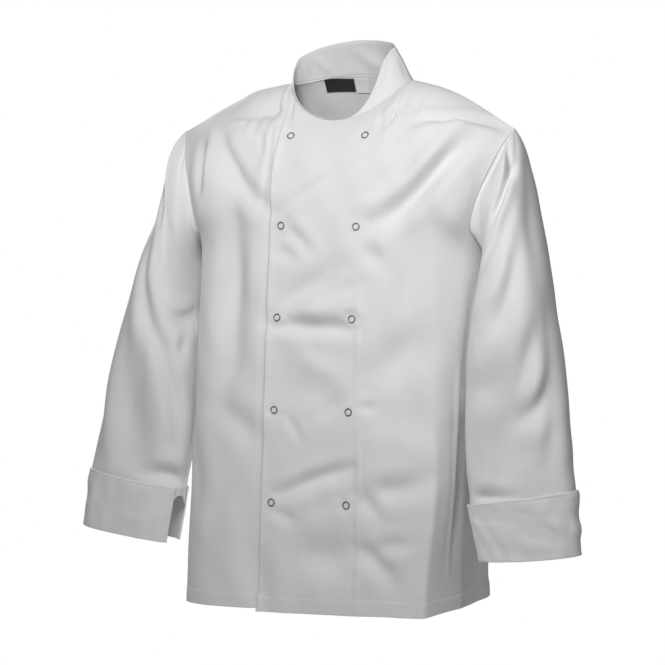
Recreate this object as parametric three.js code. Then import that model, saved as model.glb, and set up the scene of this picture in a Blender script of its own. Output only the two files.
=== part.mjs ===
import * as THREE from 'three';

// Chef jacket in a wearer's hollow form: millimetres, +Z up, the front faces -Y and +X is
// the wearer's left. The origin is the middle of the neck, level with the points where
// the shoulder seams meet the collar.

// Driving dimensions
const clothWall = 1.6;
const collarWall = 2;
const cuffWall = 2.6;
const labelWall = 1;
const seamGap = 0.4;
const layerGap = 0.5;
const neckHalfWidth = 92;
const neckFront = -64;
const neckBack = 46;
const neckSide = -2;
const neckDrop = 62;
const neckRise = 16;
const shoulderTip = { x: 257, y: -30, z: -74 };
const chestLevel = -236;
const hemLevel = -750;
const hemTilt = 0.055;
const lapColumn = 0.3;
const lapHemDrop = 4;
const lapDrift = 9;
const collarHeight = 47;
const collarEnds = 1.5;
const collarStart = 11.25;
const collarFull = 66;
const collarTip = { x: -6, y: -14 };
const collarLean = { back: 6, front: 38, open: 0.65 };
const snapPitch = 128.5;
const snapFirst = -87;
const snapRows = 5;
const snapOffset = 57;
const snapOuter = 5.6;
const snapInner = 3.9;
const snapHeight = 1.4;
const snapSeat = 0.5;

// Height of the collar on the wearer's right, where it falls open and tapers early, by the
// angle from the centre front
const collarRight = [
  { angle: 0, height: 1.5 }, { angle: 40, height: 2 }, { angle: 60, height: 5 },
  { angle: 75, height: 13 }, { angle: 90, height: 22 }, { angle: 105, height: 33 },
  { angle: 120, height: 38 }, { angle: 145, height: 44 }, { angle: 180, height: 48.5 },
];

// Torso sections: one row a height, with the half width, the front and back faces and
// how square the corners are. seam is where the side seam lies between the centre
// front, 0, and the widest point, 1.
const torsoRows = [
  { z: -790, half: 209, front: -129, back: 135, square: 4.7, seam: 0.84 },
  { z: -600, half: 209, front: -128, back: 126, square: 4.2, seam: 0.84 },
  { z: -450, half: 212, front: -123, back: 115, square: 3.6, seam: 0.86 },
  { z: -340, half: 216, front: -117, back: 106, square: 3.1, seam: 0.88 },
  { z: -236, half: 222, front: -108, back: 110, square: 2.9, seam: 0.9 },
];

// Armhole edge in front and at the back between the underarm, up 0, and the shoulder
// tip, up 1. The end rows are the underarm and the tip themselves.
const armholeFront = [
  { up: 0.18, x: 211, y: -68, z: -219 },
  { up: 0.4, x: 218, y: -76, z: -183 },
  { up: 0.62, x: 231, y: -69, z: -143 },
  { up: 0.82, x: 245, y: -52, z: -103 },
];
const armholeBack = [
  { up: 0.18, x: 219, y: 8, z: -219 },
  { up: 0.4, x: 221, y: 30, z: -181 },
  { up: 0.62, x: 231, y: 28, z: -140 },
  { up: 0.82, x: 245, y: 4, z: -100 },
];

// Sleeve rings: the outer and the inner line of the sleeve, the middle of its depth, the
// half depth and how square the ring is. close is how much nearer the body the outer line
// of the wearer's right sleeve is, and bent is how much higher the left one hangs. Row 0 is
// the armhole, row 9 the cuff's top edge and row 11 the cuff's fold.
const sleeveRows = [
  { outX: 257, outZ: -74, inX: 222, inZ: -236, y: -30, deep: 60, square: 2, close: 0, bent: 0 },
  { outX: 269, outZ: -92, inX: 228, inZ: -254, y: -33, deep: 66, square: 2, close: 7, bent: 0 },
  { outX: 282, outZ: -132, inX: 228, inZ: -276, y: -38, deep: 72, square: 2, close: 20, bent: 0 },
  { outX: 298, outZ: -192, inX: 224, inZ: -306, y: -46, deep: 74, square: 2.1, close: 25, bent: 1 },
  { outX: 316, outZ: -264, inX: 220, inZ: -341, y: -53, deep: 72, square: 2.2, close: 19, bent: 2 },
  { outX: 332, outZ: -340, inX: 216, inZ: -387, y: -57, deep: 67, square: 2.3, close: 12, bent: 4 },
  { outX: 347, outZ: -416, inX: 214, inZ: -441, y: -58, deep: 59, square: 2.4, close: 4, bent: 6 },
  { outX: 357, outZ: -486, inX: 214, inZ: -501, y: -60, deep: 48, square: 2.4, close: -2, bent: 9 },
  { outX: 364, outZ: -540, inX: 218, inZ: -556, y: -62, deep: 40, square: 2.4, close: -5, bent: 11 },
  { outX: 370, outZ: -580, inX: 223, inZ: -600, y: -63, deep: 35, square: 2.4, close: -7, bent: 13 },
  { outX: 374, outZ: -622, inX: 226, inZ: -640, y: -64, deep: 33, square: 2.4, close: -8, bent: 14 },
  { outX: 379, outZ: -666, inX: 228, inZ: -682, y: -65, deep: 31, square: 2.4, close: -8, bent: 15 },
];
const cuffTop = 9;
const cuffFold = 11;
const sleeveEnd = 9.5;
const cuffFrontEnd = 156;
const cuffBackEnd = -178;
const sleeveBlend = 1.5;

// Folds of the fronts and the back, as seen square on: a soft trough from one point to
// another, or a ridge where deep is negative
const frontFolds = [
  { x0: 205, z0: -92, x1: 60, z1: -200, wide: 26, deep: 8 },
  { x0: 175, z0: -70, x1: 95, z1: -150, wide: 24, deep: -5 },
  { x0: -150, z0: -84, x1: -92, z1: -205, wide: 22, deep: 6 },
  { x0: -138, z0: -165, x1: -128, z1: -430, wide: 26, deep: 6 },
  { x0: -178, z0: -250, x1: -172, z1: -470, wide: 26, deep: -4 },
  { x0: 60, z0: -430, x1: 130, z1: -610, wide: 34, deep: -4 },
];
const backFolds = [
  { x0: -170, z0: -95, x1: -70, z1: -220, wide: 26, deep: 6 },
  { x0: 172, z0: -95, x1: 76, z1: -215, wide: 28, deep: 6 },
  { x0: -110, z0: -300, x1: -125, z1: -620, wide: 34, deep: 5 },
  { x0: 96, z0: -340, x1: 120, z1: -660, wide: 34, deep: 5 },
];

// Folds of a sleeve: from one of its rows to another, at a turn in degrees from the outer
// line, with the front at 90; wide is in degrees, and a row counts as rowTurn of them
const rowTurn = 30;
const sleeveFolds = [
  { row0: 1.2, at0: 60, row1: 4, at1: 96, wide: 24, deep: 6 },
  { row0: 5, at0: 84, row1: 8.6, at1: 92, wide: 22, deep: 6 },
  { row0: 2, at0: 250, row1: 5, at1: 285, wide: 26, deep: 6 },
  { row0: 5.5, at0: 300, row1: 8.6, at1: 262, wide: 24, deep: 5 },
];

const whiteCloth = { color: 0xe9eaec, roughness: 0.9, metalness: 0 };
const blackTape = { color: 0x141416, roughness: 0.85, metalness: 0 };
const steel = { color: 0x8f9196, roughness: 0.3, metalness: 1 };

// Small helpers
const radians = (degrees) => degrees * Math.PI / 180;
const mix = (a, b, t) => a + (b - a) * t;
const clamp = (t) => Math.min(1, Math.max(0, t));
const smooth = (t) => clamp(t) ** 2 * (3 - 2 * clamp(t));
const vec = (x, y, z) => new THREE.Vector3(x, y, z);
const power = (value, exponent) => Math.sign(value) * Math.abs(value) ** exponent;
const steps = (count) => Array.from({ length: count + 1 }, (_, i) => i / count);

// A table's values at a place, on a smooth curve through its rows
function tableAt(rows, key, place) {
  let i = 0;
  while (i < rows.length - 2 && rows[i + 1][key] < place) i += 1;
  const [a, b] = [rows[i], rows[i + 1]];
  const before = rows[Math.max(0, i - 1)];
  const after = rows[Math.min(rows.length - 1, i + 2)];
  const span = b[key] - a[key];
  const t = clamp((place - a[key]) / span);
  const out = {};
  for (const name of Object.keys(a)) {
    const rise = b[name] - a[name];
    const slopeA = (b[name] - before[name]) / (b[key] - before[key]) * span;
    const slopeB = (after[name] - a[name]) / (after[key] - a[key]) * span;
    const bend = 3 * rise - 2 * slopeA - slopeB;
    out[name] = a[name] + t * (slopeA + t * (bend + t * (slopeA + slopeB - 2 * rise)));
  }
  return out;
}

// Depth of the folds at a place: it falls off beside each fold's line and at its ends
function foldDepth(folds, u, v, names) {
  let depth = 0;
  for (const fold of folds) {
    const [u0, v0, u1, v1] = names.map((name) => fold[name]);
    const squared = (u1 - u0) ** 2 + (v1 - v0) ** 2;
    const along = clamp(((u - u0) * (u1 - u0) + (v - v0) * (v1 - v0)) / squared);
    const off = Math.hypot(u - mix(u0, u1, along), v - mix(v0, v1, along)) / fold.wide;
    depth += fold.deep * Math.exp(-off * off) * Math.sin(Math.PI * mix(0.08, 0.92, along));
  }
  return depth;
}

// Half the torso's outline at a height, by length along the cloth from the centre front
const outlineSteps = 144;
const outlines = new Map();
function outlineAt(z) {
  const key = z.toFixed(2);
  if (outlines.has(key)) return outlines.get(key);
  const row = tableAt(torsoRows, 'z', z);
  const middle = (row.front + row.back) / 2;
  const points = [];
  let length = 0;
  for (let i = 0; i <= outlineSteps; i += 1) {
    const angle = Math.PI * i / outlineSteps;
    const x = row.half * Math.sin(angle) ** (2 / row.square);
    const y = middle - (middle - row.front) * power(Math.cos(angle), 2 / row.square);
    if (i > 0) length += Math.hypot(x - points[i - 1].x, y - points[i - 1].y);
    points.push({ x, y, length });
  }
  const outline = { points, half: length, seam: points[outlineSteps / 2].length * row.seam };
  outlines.set(key, outline);
  return outline;
}

function outlinePoint(z, length) {
  const { points } = outlineAt(z);
  const wanted = Math.abs(length);
  let i = 1;
  while (i < points.length - 1 && points[i].length < wanted) i += 1;
  const [a, b] = [points[i - 1], points[i]];
  const t = (wanted - a.length) / (b.length - a.length);
  return vec(Math.sign(length || 1) * mix(a.x, b.x, t), mix(a.y, b.y, t), z);
}

// The neckline by its angle round the neck: 0 at the centre front, 90 at a shoulder
function necklinePoint(angle) {
  const c = Math.cos(radians(angle));
  const z = c > 0 ? neckSide - neckDrop * c ** 1.6 : neckSide + neckRise * (-c) ** 1.5;
  return vec(neckHalfWidth * Math.sin(radians(angle)), c * (c > 0 ? neckFront : -neckBack), z);
}

// Top edge of a front or back by its column: the neckline, then the shoulder seam
const neckShare = 0.4;
const shoulderArch = 15;
function topEdge(column, isBack) {
  const round = 90 * Math.min(1, column / neckShare);
  if (column <= neckShare) return necklinePoint(isBack ? 180 - round : round);
  const t = (column - neckShare) / (1 - neckShare);
  const neck = necklinePoint(90);
  const arch = shoulderArch * Math.sin(Math.PI * t) * (1 - t) ** 0.4;
  return neck.lerp(vec(shoulderTip.x, shoulderTip.y, shoulderTip.z), t).add(vec(0, 0, arch));
}

// How far round the outline a column lies at a height
function columnLength(column, z, isBack) {
  const outline = outlineAt(z);
  return isBack ? outline.half - (outline.half - outline.seam) * column : outline.seam * column;
}

const underarm = outlinePoint(chestLevel, columnLength(1, chestLevel, false));
function armholePoint(up, isBack) {
  const ends = [{ up: 0, ...underarm }, { up: 1, ...shoulderTip }];
  const { x, y, z } = tableAt([ends[0], ...(isBack ? armholeBack : armholeFront), ends[1]], 'up', up);
  return vec(x, y, z);
}

// The upper torso between the chest line and the top edge, up to 1, before the armhole
// draws it in
function upperPoint(column, up, isBack) {
  const chest = outlinePoint(chestLevel, columnLength(column, chestLevel, isBack));
  const top = topEdge(column, isBack);
  const neckCurve = up ** (isBack ? 2.6 : 3.2);
  const shoulderCurve = 1 - (1 - up ** 2.3) ** 0.56;
  const shoulderPart = smooth((column - 0.4 * neckShare) / (0.9 * neckShare));
  return vec(
    mix(chest.x, top.x, up ** 1.5),
    mix(chest.y, top.y, mix(neckCurve, shoulderCurve, shoulderPart)),
    mix(chest.z, top.z, up),
  );
}

// How far the lap has moved to the wearer's left at a height
const driftAt = (z) => lapDrift * smooth((chestLevel + 110 - z) / (chestLevel - hemLevel));

// A point of the torso's cloth. column is 0 at the centre and 1 at the side seam and the
// armhole; rise is 0 at the hem, 1 at the chest line and 2 at the top edge; side is 1 on
// the wearer's left and -1 on the right.
function torsoPoint(column, rise, isBack, side) {
  let point;
  if (rise <= 1) {
    const foot = outlinePoint(hemLevel, columnLength(column, hemLevel, isBack));
    const z = mix(hemLevel + hemTilt * foot.x * side, chestLevel, rise);
    point = outlinePoint(z, columnLength(column, z, isBack));
  } else {
    const up = Math.sin((rise - 1) * Math.PI / 2);
    point = upperPoint(column, up, isBack);
    const draw = smooth((column - 0.3) / 0.7) ** 1.4;
    point.addScaledVector(armholePoint(up, isBack).sub(upperPoint(1, up, isBack)), draw);
  }
  point.x *= side;
  const depth = foldDepth(isBack ? backFolds : frontFolds, point.x, point.z, ['x0', 'z0', 'x1', 'z1']);
  const fade = smooth((1 - column) / 0.15) * smooth((2 - rise) / 0.15);
  point.y += (isBack ? -1 : 1) * depth * fade;
  if (!isBack) point.x += driftAt(point.z) * (1 - smooth((Math.abs(point.x) - 70) / 90));
  return point;
}

// Direction out of the cloth at a place, the same for every piece that passes there, so
// that two walls stand edge to edge at a seam
function torsoOut(point) {
  const row = tableAt(torsoRows, 'z', Math.min(point.z, chestLevel));
  const middle = (row.front + row.back) / 2;
  const deep = (row.back - row.front) / 2;
  const out = vec(
    power(point.x / row.half, row.square - 1) / row.half,
    power((point.y - middle) / deep, row.square - 1) / deep,
    0,
  ).normalize();
  const along = clamp((Math.abs(point.x) - neckHalfWidth) / (shoulderTip.x - neckHalfWidth));
  const seamZ = mix(neckSide, shoulderTip.z, along);
  const near = smooth(1 - (seamZ - point.z) / 90) * smooth((Math.abs(point.x) - 40) / 50);
  const slope = Math.atan2(neckSide - shoulderTip.z, shoulderTip.x - neckHalfWidth);
  const up = vec(Math.sign(point.x) * Math.sin(slope), 0, Math.cos(slope));
  return out.lerp(up, near).normalize();
}

// Closed wall between two grids of points with the same rows and columns. The first grid
// is the face that looks along across x along; a ring's columns close on themselves.
function wallGeometry(face, rear, isRing) {
  const across = face[0].length;
  const rows = face.length;
  const shift = rows * across;
  const index = [];
  const quad = (a, b, c, d) => index.push(a, b, c, a, c, d);
  const at = (j, i) => j * across + (i % across);
  const spans = isRing ? across : across - 1;
  for (let j = 0; j < rows - 1; j += 1) {
    for (let i = 0; i < spans; i += 1) {
      quad(at(j, i), at(j, i + 1), at(j + 1, i + 1), at(j + 1, i));
      quad(shift + at(j, i), shift + at(j + 1, i), shift + at(j + 1, i + 1), shift + at(j, i + 1));
    }
  }
  const top = rows - 1;
  for (let i = 0; i < spans; i += 1) {
    quad(at(0, i), shift + at(0, i), shift + at(0, i + 1), at(0, i + 1));
    quad(at(top, i), at(top, i + 1), shift + at(top, i + 1), shift + at(top, i));
  }
  for (let j = 0; j < rows - 1 && !isRing; j += 1) {
    const end = across - 1;
    quad(at(j, 0), at(j + 1, 0), shift + at(j + 1, 0), shift + at(j, 0));
    quad(at(j, end), shift + at(j, end), shift + at(j + 1, end), at(j + 1, end));
  }
  const geometry = new THREE.BufferGeometry();
  const positions = [...face.flat(), ...rear.flat()].flatMap((p) => [p.x, p.y, p.z]);
  geometry.setAttribute('position', new THREE.Float32BufferAttribute(positions, 3));
  geometry.setIndex(index);
  geometry.computeVertexNormals();
  return geometry;
}

const jacket = new THREE.Group();
function addPiece(name, geometry, look) {
  const mesh = new THREE.Mesh(geometry, new THREE.MeshStandardMaterial(look));
  mesh.name = name;
  jacket.add(mesh);
  return mesh;
}

// Half the seam gap at a torso panel's seams, into the panel
function seamInset(column, rise, isBack, side) {
  const half = seamGap / 2;
  const inset = vec(0, 0, 0);
  if (column >= 1 && rise <= 1) inset.y += isBack ? half : -half;
  if (column >= 1 && rise > 1) inset.x -= side * half;
  if (rise === 2 && column > neckShare) inset.y += isBack ? half : -half;
  if (rise === 1 && column >= 1) inset.z -= half;
  return inset;
}

const lowRises = [0, 0.04, 0.12, 0.22, 0.32, 0.42, 0.52, 0.62, 0.72, 0.82, 0.92];
const armholeSteps = 12;
const rises = [...lowRises, ...steps(armholeSteps).map((t) => 1 + t)];

// A torso panel as a wall over its columns
function panelGeometry(columns, isBack, lift, drop) {
  const face = [];
  const rear = [];
  for (const rise of rises) {
    const outRow = [];
    const inRow = [];
    for (const { column, side } of columns) {
      const point = torsoPoint(column, rise, isBack, side);
      const out = torsoOut(point);
      point.add(seamInset(column, rise, isBack, side));
      point.z -= drop * (1 - smooth(rise / 0.1));
      const raised = lift(column, side);
      outRow.push(point.clone().addScaledVector(out, raised));
      inRow.push(point.clone().addScaledVector(out, raised - clothWall));
    }
    face.push(outRow);
    rear.push(inRow);
  }
  return isBack ? wallGeometry(rear, face, false) : wallGeometry(face, rear, false);
}

function buildTorso() {
  const neckColumns = steps(8).map((t) => t * neckShare);
  const lapColumns = neckColumns.filter((column) => column > 0 && column < lapColumn + 0.01).reverse();
  const bodyColumns = [...neckColumns, 0.48, 0.56, 0.64, 0.72, 0.8, 0.87, 0.94, 1];
  const frontLeft = [
    ...lapColumns.map((column) => ({ column, side: -1 })),
    ...bodyColumns.map((column) => ({ column, side: 1 })),
  ];
  const frontRight = [...frontLeft].reverse().map(({ column, side }) => ({ column, side: -side }));
  const lapLift = (column, side) => (
    (clothWall + layerGap) * (side < 0 ? 1 : 1 - smooth((column - lapColumn - 0.03) / 0.2))
  );
  addPiece('front_left', panelGeometry(frontLeft, false, lapLift, lapHemDrop), whiteCloth);
  addPiece('front_right', panelGeometry(frontRight, false, () => 0, 0), whiteCloth);
  const halfBack = bodyColumns.map((column) => ({ column, side: 1 }));
  const otherHalf = halfBack.slice(1).reverse().map(({ column }) => ({ column, side: -1 }));
  const back = [...otherHalf, ...halfBack];
  addPiece('back', panelGeometry(back, true, () => 0, 0), whiteCloth);
}

// A sleeve's point by its row and its turn from the outer line through the front, 90
const indexedRows = sleeveRows.map((values, index) => ({ index, ...values }));
const turnedFolds = sleeveFolds.map(({ row0, at0, row1, at1, wide, deep }) => (
  { u0: row0 * rowTurn, v0: at0, u1: row1 * rowTurn, v1: at1, wide, deep }
));
function sleevePoint(row, turn, side) {
  const ring = tableAt(indexedRows, 'index', row);
  const c = power(Math.cos(radians(turn)), 2 / ring.square);
  const s = power(Math.sin(radians(turn)), 2 / ring.square);
  if (side < 0) ring.outX -= ring.close;
  const point = vec(
    mix(ring.inX, ring.outX, (1 + c) / 2),
    ring.y - ring.deep * s,
    mix(ring.inZ, ring.outZ, (1 + c) / 2) + (side > 0 ? ring.bent : 0),
  );
  if (row < sleeveBlend) {
    const isBack = turn > 180;
    const up = Math.cos(radians(isBack ? 360 - turn : turn) / 2);
    point.lerp(armholePoint(up, isBack).add(vec(seamGap / 2, 0, 0)), 1 - smooth(row / sleeveBlend));
  }
  const breadth = vec(ring.outX - ring.inX, 0, ring.outZ - ring.inZ);
  breadth.multiplyScalar(2 * c * ring.deep / breadth.lengthSq());
  const radial = breadth.add(vec(0, -s, 0)).normalize();
  const fade = smooth(row / 1.2) * smooth((cuffTop - row) / 0.8);
  const depth = foldDepth(turnedFolds, row * rowTurn, turn, ['u0', 'v0', 'u1', 'v1']) * fade;
  point.addScaledVector(radial, -depth);
  point.x *= side;
  radial.x *= side;
  return { point, radial };
}

function sleeveWall(rowList, turns, side, lift, wall, isRing) {
  const face = [];
  const rear = [];
  for (const row of rowList) {
    const ring = turns.map((turn) => sleevePoint(row, (turn + 360) % 360, side));
    face.push(ring.map(({ point, radial }) => point.clone().addScaledVector(radial, lift)));
    rear.push(ring.map(({ point, radial }) => point.clone().addScaledVector(radial, lift - wall)));
  }
  return side > 0 ? wallGeometry(face, rear, isRing) : wallGeometry(rear, face, isRing);
}

function buildSleeves() {
  const ringTurns = steps(armholeSteps * 2).slice(0, -1).map((t) => 360 * t);
  const upperRows = [0, 0.35, 0.7, 1.05, 1.5, 2, 2.6, 3.2, 3.8];
  const rowList = [...upperRows, 4.4, 5, 5.6, 6.2, 6.8, 7.4, 8, 8.5, 9, sleeveEnd];
  const cuffRows = [cuffTop, 9.5, 10, 10.5, cuffFold];
  const cuffTurns = steps(28).map((t) => mix(cuffFrontEnd, cuffBackEnd, t)).reverse();
  for (const [side, name] of [[1, 'left'], [-1, 'right']]) {
    addPiece(`sleeve_${name}`, sleeveWall(rowList, ringTurns, side, 0, clothWall, true), whiteCloth);
    const lift = layerGap + cuffWall;
    addPiece(`cuff_${name}`, sleeveWall(cuffRows, cuffTurns, side, lift, cuffWall, false), whiteCloth);
  }
}

// The collar stands on the neckline and leans inwards; its ends taper to the neckline
function buildCollar() {
  const face = [];
  const rear = [];
  const angles = steps(30).map((t) => mix(collarStart, 360 - collarStart, t));
  const foot = (neckBack - neckFront) / 2;
  for (const level of steps(4)) {
    const outRow = [];
    const inRow = [];
    for (const angle of angles) {
      const fromFront = Math.min(angle, 360 - angle);
      const full = smooth((fromFront - collarStart) / (collarFull - collarStart));
      const isOpen = angle > 180;
      const height = isOpen ? tableAt(collarRight, 'angle', fromFront).height : collarEnds + collarHeight * full;
      const turn = radians(angle);
      const fallen = isOpen ? 1 - collarLean.open * smooth((180 - fromFront) / 60) : 1;
      const lean = fallen * radians(mix(collarLean.back, collarLean.front, ((1 + Math.cos(turn)) / 2) ** 0.8));
      const out = vec(Math.sin(turn) / neckHalfWidth, -Math.cos(turn) / foot, 0).normalize();
      const upwards = vec(0, 0, Math.cos(lean)).addScaledVector(out, -Math.sin(lean));
      const base = necklinePoint(angle).add(vec(0, 0, seamGap)).addScaledVector(upwards, height * level);
      base.add(vec(collarTip.x, collarTip.y, 0).multiplyScalar(height * level / collarHeight));
      const tip = Math.min(lean, lean * level * 2);
      const thick = out.clone().multiplyScalar(Math.cos(tip)).add(vec(0, 0, Math.sin(tip)));
      outRow.push(base);
      inRow.push(base.clone().addScaledVector(thick, -collarWall));
    }
    face.push(outRow);
    rear.push(inRow);
  }
  addPiece('collar', wallGeometry(face, rear, false), whiteCloth);
}

// A small cloth label inside the back neck, hung from the collar seam
function buildLabel(name, from, to, top, drop, look) {
  const face = [];
  const rear = [];
  for (const level of steps(3)) {
    const z = top - drop * level;
    const row = steps(4).map((t) => {
      const x = mix(from, to, t);
      const column = Math.abs(x) / neckHalfWidth * neckShare;
      const up = clamp((z - chestLevel) / (topEdge(column, true).z - chestLevel));
      const point = torsoPoint(column, 1 + Math.asin(up) * 2 / Math.PI, true, Math.sign(x) || 1);
      const out = torsoOut(point);
      return { point: point.addScaledVector(out, -clothWall - layerGap), out };
    });
    rear.push(row.map(({ point }) => point));
    face.push(row.map(({ point, out }) => point.clone().addScaledVector(out, -labelWall)));
  }
  addPiece(name, wallGeometry(rear, face, false), look);
}

// How far up a front a height lies on one of its columns
function riseAt(z, column) {
  if (z < chestLevel) return (z - hemLevel) / (chestLevel - hemLevel);
  return 1 + Math.asin((z - chestLevel) / (topEdge(column, false).z - chestLevel)) * 2 / Math.PI;
}

// Ring snaps in two columns down the lap, each flat on the cloth
function buildSnaps() {
  const bevel = 0.35;
  const profile = [
    [snapInner, 0], [snapOuter, 0], [snapOuter, snapHeight - bevel],
    [snapOuter - bevel, snapHeight], [snapInner, snapHeight], [snapInner, 0],
  ].map(([x, y]) => new THREE.Vector2(x, y));
  const nudge = 0.02;
  for (let row = 0; row < snapRows; row += 1) {
    const z = snapFirst - row * snapPitch;
    for (const [side, name] of [[-1, 'outer'], [1, 'inner']]) {
      let column = snapOffset / columnLength(1, Math.min(z, chestLevel), false);
      for (let turn = 0; turn < 4; turn += 1) {
        const guess = torsoPoint(column, riseAt(z, column), false, side);
        column *= snapOffset / Math.abs(guess.x - driftAt(z));
      }
      const rise = riseAt(z, column);
      const place = (u, v) => torsoPoint(column + u, rise + v, false, side);
      const across = place(nudge, 0).sub(place(-nudge, 0)).multiplyScalar(side);
      const normal = across.cross(place(0, nudge).sub(place(0, -nudge))).normalize();
      const point = place(0, 0);
      const ring = addPiece(`snap_${name}_${row + 1}`, new THREE.LatheGeometry(profile, 16), steel);
      ring.quaternion.setFromUnitVectors(vec(0, 1, 0), normal);
      point.addScaledVector(torsoOut(point), clothWall + layerGap);
      ring.position.copy(point.addScaledVector(normal, snapSeat));
    }
  }
}

buildTorso();
buildSleeves();
buildCollar();
buildLabel('neck_label', -44, -12.6, 9, 17.5, blackTape);
buildLabel('size_label', -11.6, 1, 9, 20, whiteCloth);
buildSnaps();

export default jacket;
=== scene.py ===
import math
import bpy
import numpy as np
from mathutils import Matrix, Vector


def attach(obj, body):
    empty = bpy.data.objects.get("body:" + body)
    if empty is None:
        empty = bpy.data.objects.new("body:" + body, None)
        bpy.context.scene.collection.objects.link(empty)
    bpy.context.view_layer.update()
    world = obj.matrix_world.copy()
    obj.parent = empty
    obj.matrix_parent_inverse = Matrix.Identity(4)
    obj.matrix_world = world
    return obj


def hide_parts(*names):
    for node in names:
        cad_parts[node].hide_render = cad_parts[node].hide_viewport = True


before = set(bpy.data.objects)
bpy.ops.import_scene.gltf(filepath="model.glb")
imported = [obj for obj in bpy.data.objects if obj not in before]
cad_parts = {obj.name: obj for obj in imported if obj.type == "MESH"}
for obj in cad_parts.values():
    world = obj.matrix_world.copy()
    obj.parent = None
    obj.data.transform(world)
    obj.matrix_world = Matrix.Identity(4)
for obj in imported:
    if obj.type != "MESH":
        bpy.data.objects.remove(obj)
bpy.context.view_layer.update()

# White double-breasted chef jacket in its worn, hollow form. The front faces -Y, +Z is up and +X is the
# wearer's left. The cloth is worked out in millimetres and scaled once, when a mesh is made.
mm = 0.001


# Shaders: sums on sockets are written as Python
class Wire:
    def __init__(self, shader, socket):
        self.shader, self.socket = shader, socket

    def sum(self, kind, a, b):
        return self.shader.node("Math", {"operation": kind}, {0: a, 1: b})

    def __add__(self, other): return self.sum("ADD", self, other)
    def __radd__(self, other): return self.sum("ADD", other, self)
    def __sub__(self, other): return self.sum("SUBTRACT", self, other)
    def __rsub__(self, other): return self.sum("SUBTRACT", other, self)
    def __mul__(self, other): return self.sum("MULTIPLY", self, other)
    def __rmul__(self, other): return self.sum("MULTIPLY", other, self)


class Shader:
    def __init__(self, name):
        self.material = bpy.data.materials.new(name)
        self.material.use_nodes = True
        self.tree = self.material.node_tree
        self.tree.nodes.clear()

    def node(self, kind, settings, values, output=0):
        made = self.tree.nodes.new("ShaderNode" + kind)
        for key, value in settings.items():
            if key == "stops":
                for number, (place, colour) in enumerate(value):
                    stop = made.color_ramp.elements[number] if number < 2 else made.color_ramp.elements.new(place)
                    stop.position, stop.color = place, (*colour, 1)
            else:
                setattr(made, key, value)
        for key, value in values.items():
            if isinstance(value, Wire):
                self.tree.links.new(value.socket, made.inputs[key])
            else:
                made.inputs[key].default_value = value
        return Wire(self, made.outputs[output]) if made.outputs else None

    def finish(self, surface):
        self.node("OutputMaterial", {}, {"Surface": surface})
        return self.material


clothLook = {  # twill is the spacing of its ribs and weave their height, in metres
    "light": (0.86, 0.862, 0.872), "dark": (0.75, 0.752, 0.764), "twill": 0.00062, "weave": 0.00011, "rough": 0.86,
    "yarn": 0.62, "lean": 58,
}
waveSpan = 0.314  # a wave texture at scale 1 repeats after this many units


def clothMaterial(name, look):
    s = Shader(name)
    uv = s.node("UVMap", {"uv_map": "cloth"}, {})
    place = s.node("TexCoord", {}, {}, "Object")
    patchy = s.node("TexNoise", {}, {"Vector": place, "Scale": 9.0, "Detail": 3.0, "Roughness": 0.55})
    fine = s.node("TexNoise", {}, {"Vector": place, "Scale": 420.0, "Detail": 2.0, "Roughness": 0.6})
    turned = s.node("Mapping", {}, {"Vector": uv, "Rotation": (0, 0, math.radians(look["lean"]))})
    twill = s.node("TexWave", {"wave_type": "BANDS", "bands_direction": "X", "wave_profile": "SIN"},
                   {"Vector": turned, "Scale": waveSpan / look["twill"], "Distortion": 0.6, "Detail": 1.0,
                    "Detail Scale": 3.0}, "Fac")
    yarn = s.node("TexWave", {"wave_type": "BANDS", "bands_direction": "Y", "wave_profile": "SIN"},
                  {"Vector": uv, "Scale": waveSpan / (look["twill"] * look["yarn"]),
                   "Distortion": 0.4, "Detail": 1.0}, "Fac")
    weave = twill * 0.65 + yarn * 0.35
    shade = patchy * 0.55 + fine * 0.25 + weave * 0.2
    colour = s.node("ValToRGB", {"stops": [(0.28, look["dark"]), (0.72, look["light"])]}, {"Fac": shade})
    height = weave * 0.8 + fine * 0.5
    bump = s.node("Bump", {}, {"Height": height, "Strength": 0.6, "Distance": look["weave"]})
    rough = look["rough"] + (fine - 0.5) * 0.12
    return s.finish(s.node("BsdfPrincipled", {}, {
        "Base Color": colour, "Roughness": rough, "Normal": bump, "Sheen Weight": 0.12, "Sheen Roughness": 0.5,
        "Specular IOR Level": 0.25}))


def threadMaterial():
    s = Shader("white_thread")
    place = s.node("TexCoord", {}, {}, "Object")
    fine = s.node("TexNoise", {}, {"Vector": place, "Scale": 900.0, "Detail": 2.0})
    colour = s.node("ValToRGB", {"stops": [(0.3, (0.74, 0.75, 0.77)), (0.7, (0.86, 0.86, 0.87))]}, {"Fac": fine})
    bump = s.node("Bump", {}, {"Height": fine, "Strength": 0.4, "Distance": 0.0001})
    return s.finish(s.node("BsdfPrincipled", {}, {
        "Base Color": colour, "Roughness": 0.55 + fine * 0.2, "Normal": bump, "Sheen Weight": 0.2}))


def steelMaterial():
    s = Shader("snap_steel")
    place = s.node("TexCoord", {}, {}, "Object")
    cloudy = s.node("TexNoise", {}, {"Vector": place, "Scale": 260.0, "Detail": 3.0})
    scratch = s.node("TexNoise", {}, {"Vector": s.node("Mapping", {}, {"Vector": place, "Scale": (900, 900, 5200)}),
                                      "Scale": 1.0, "Detail": 2.0})
    colour = s.node("ValToRGB", {"stops": [(0.3, (0.2, 0.203, 0.215)), (0.7, (0.32, 0.324, 0.34))]}, {"Fac": cloudy})
    rough = 0.34 + cloudy * 0.14 + scratch * 0.06
    bump = s.node("Bump", {}, {"Height": scratch, "Strength": 0.15, "Distance": 0.00003})
    return s.finish(s.node("BsdfPrincipled", {}, {
        "Base Color": colour, "Metallic": 1.0, "Roughness": rough, "Normal": bump}))


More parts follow.
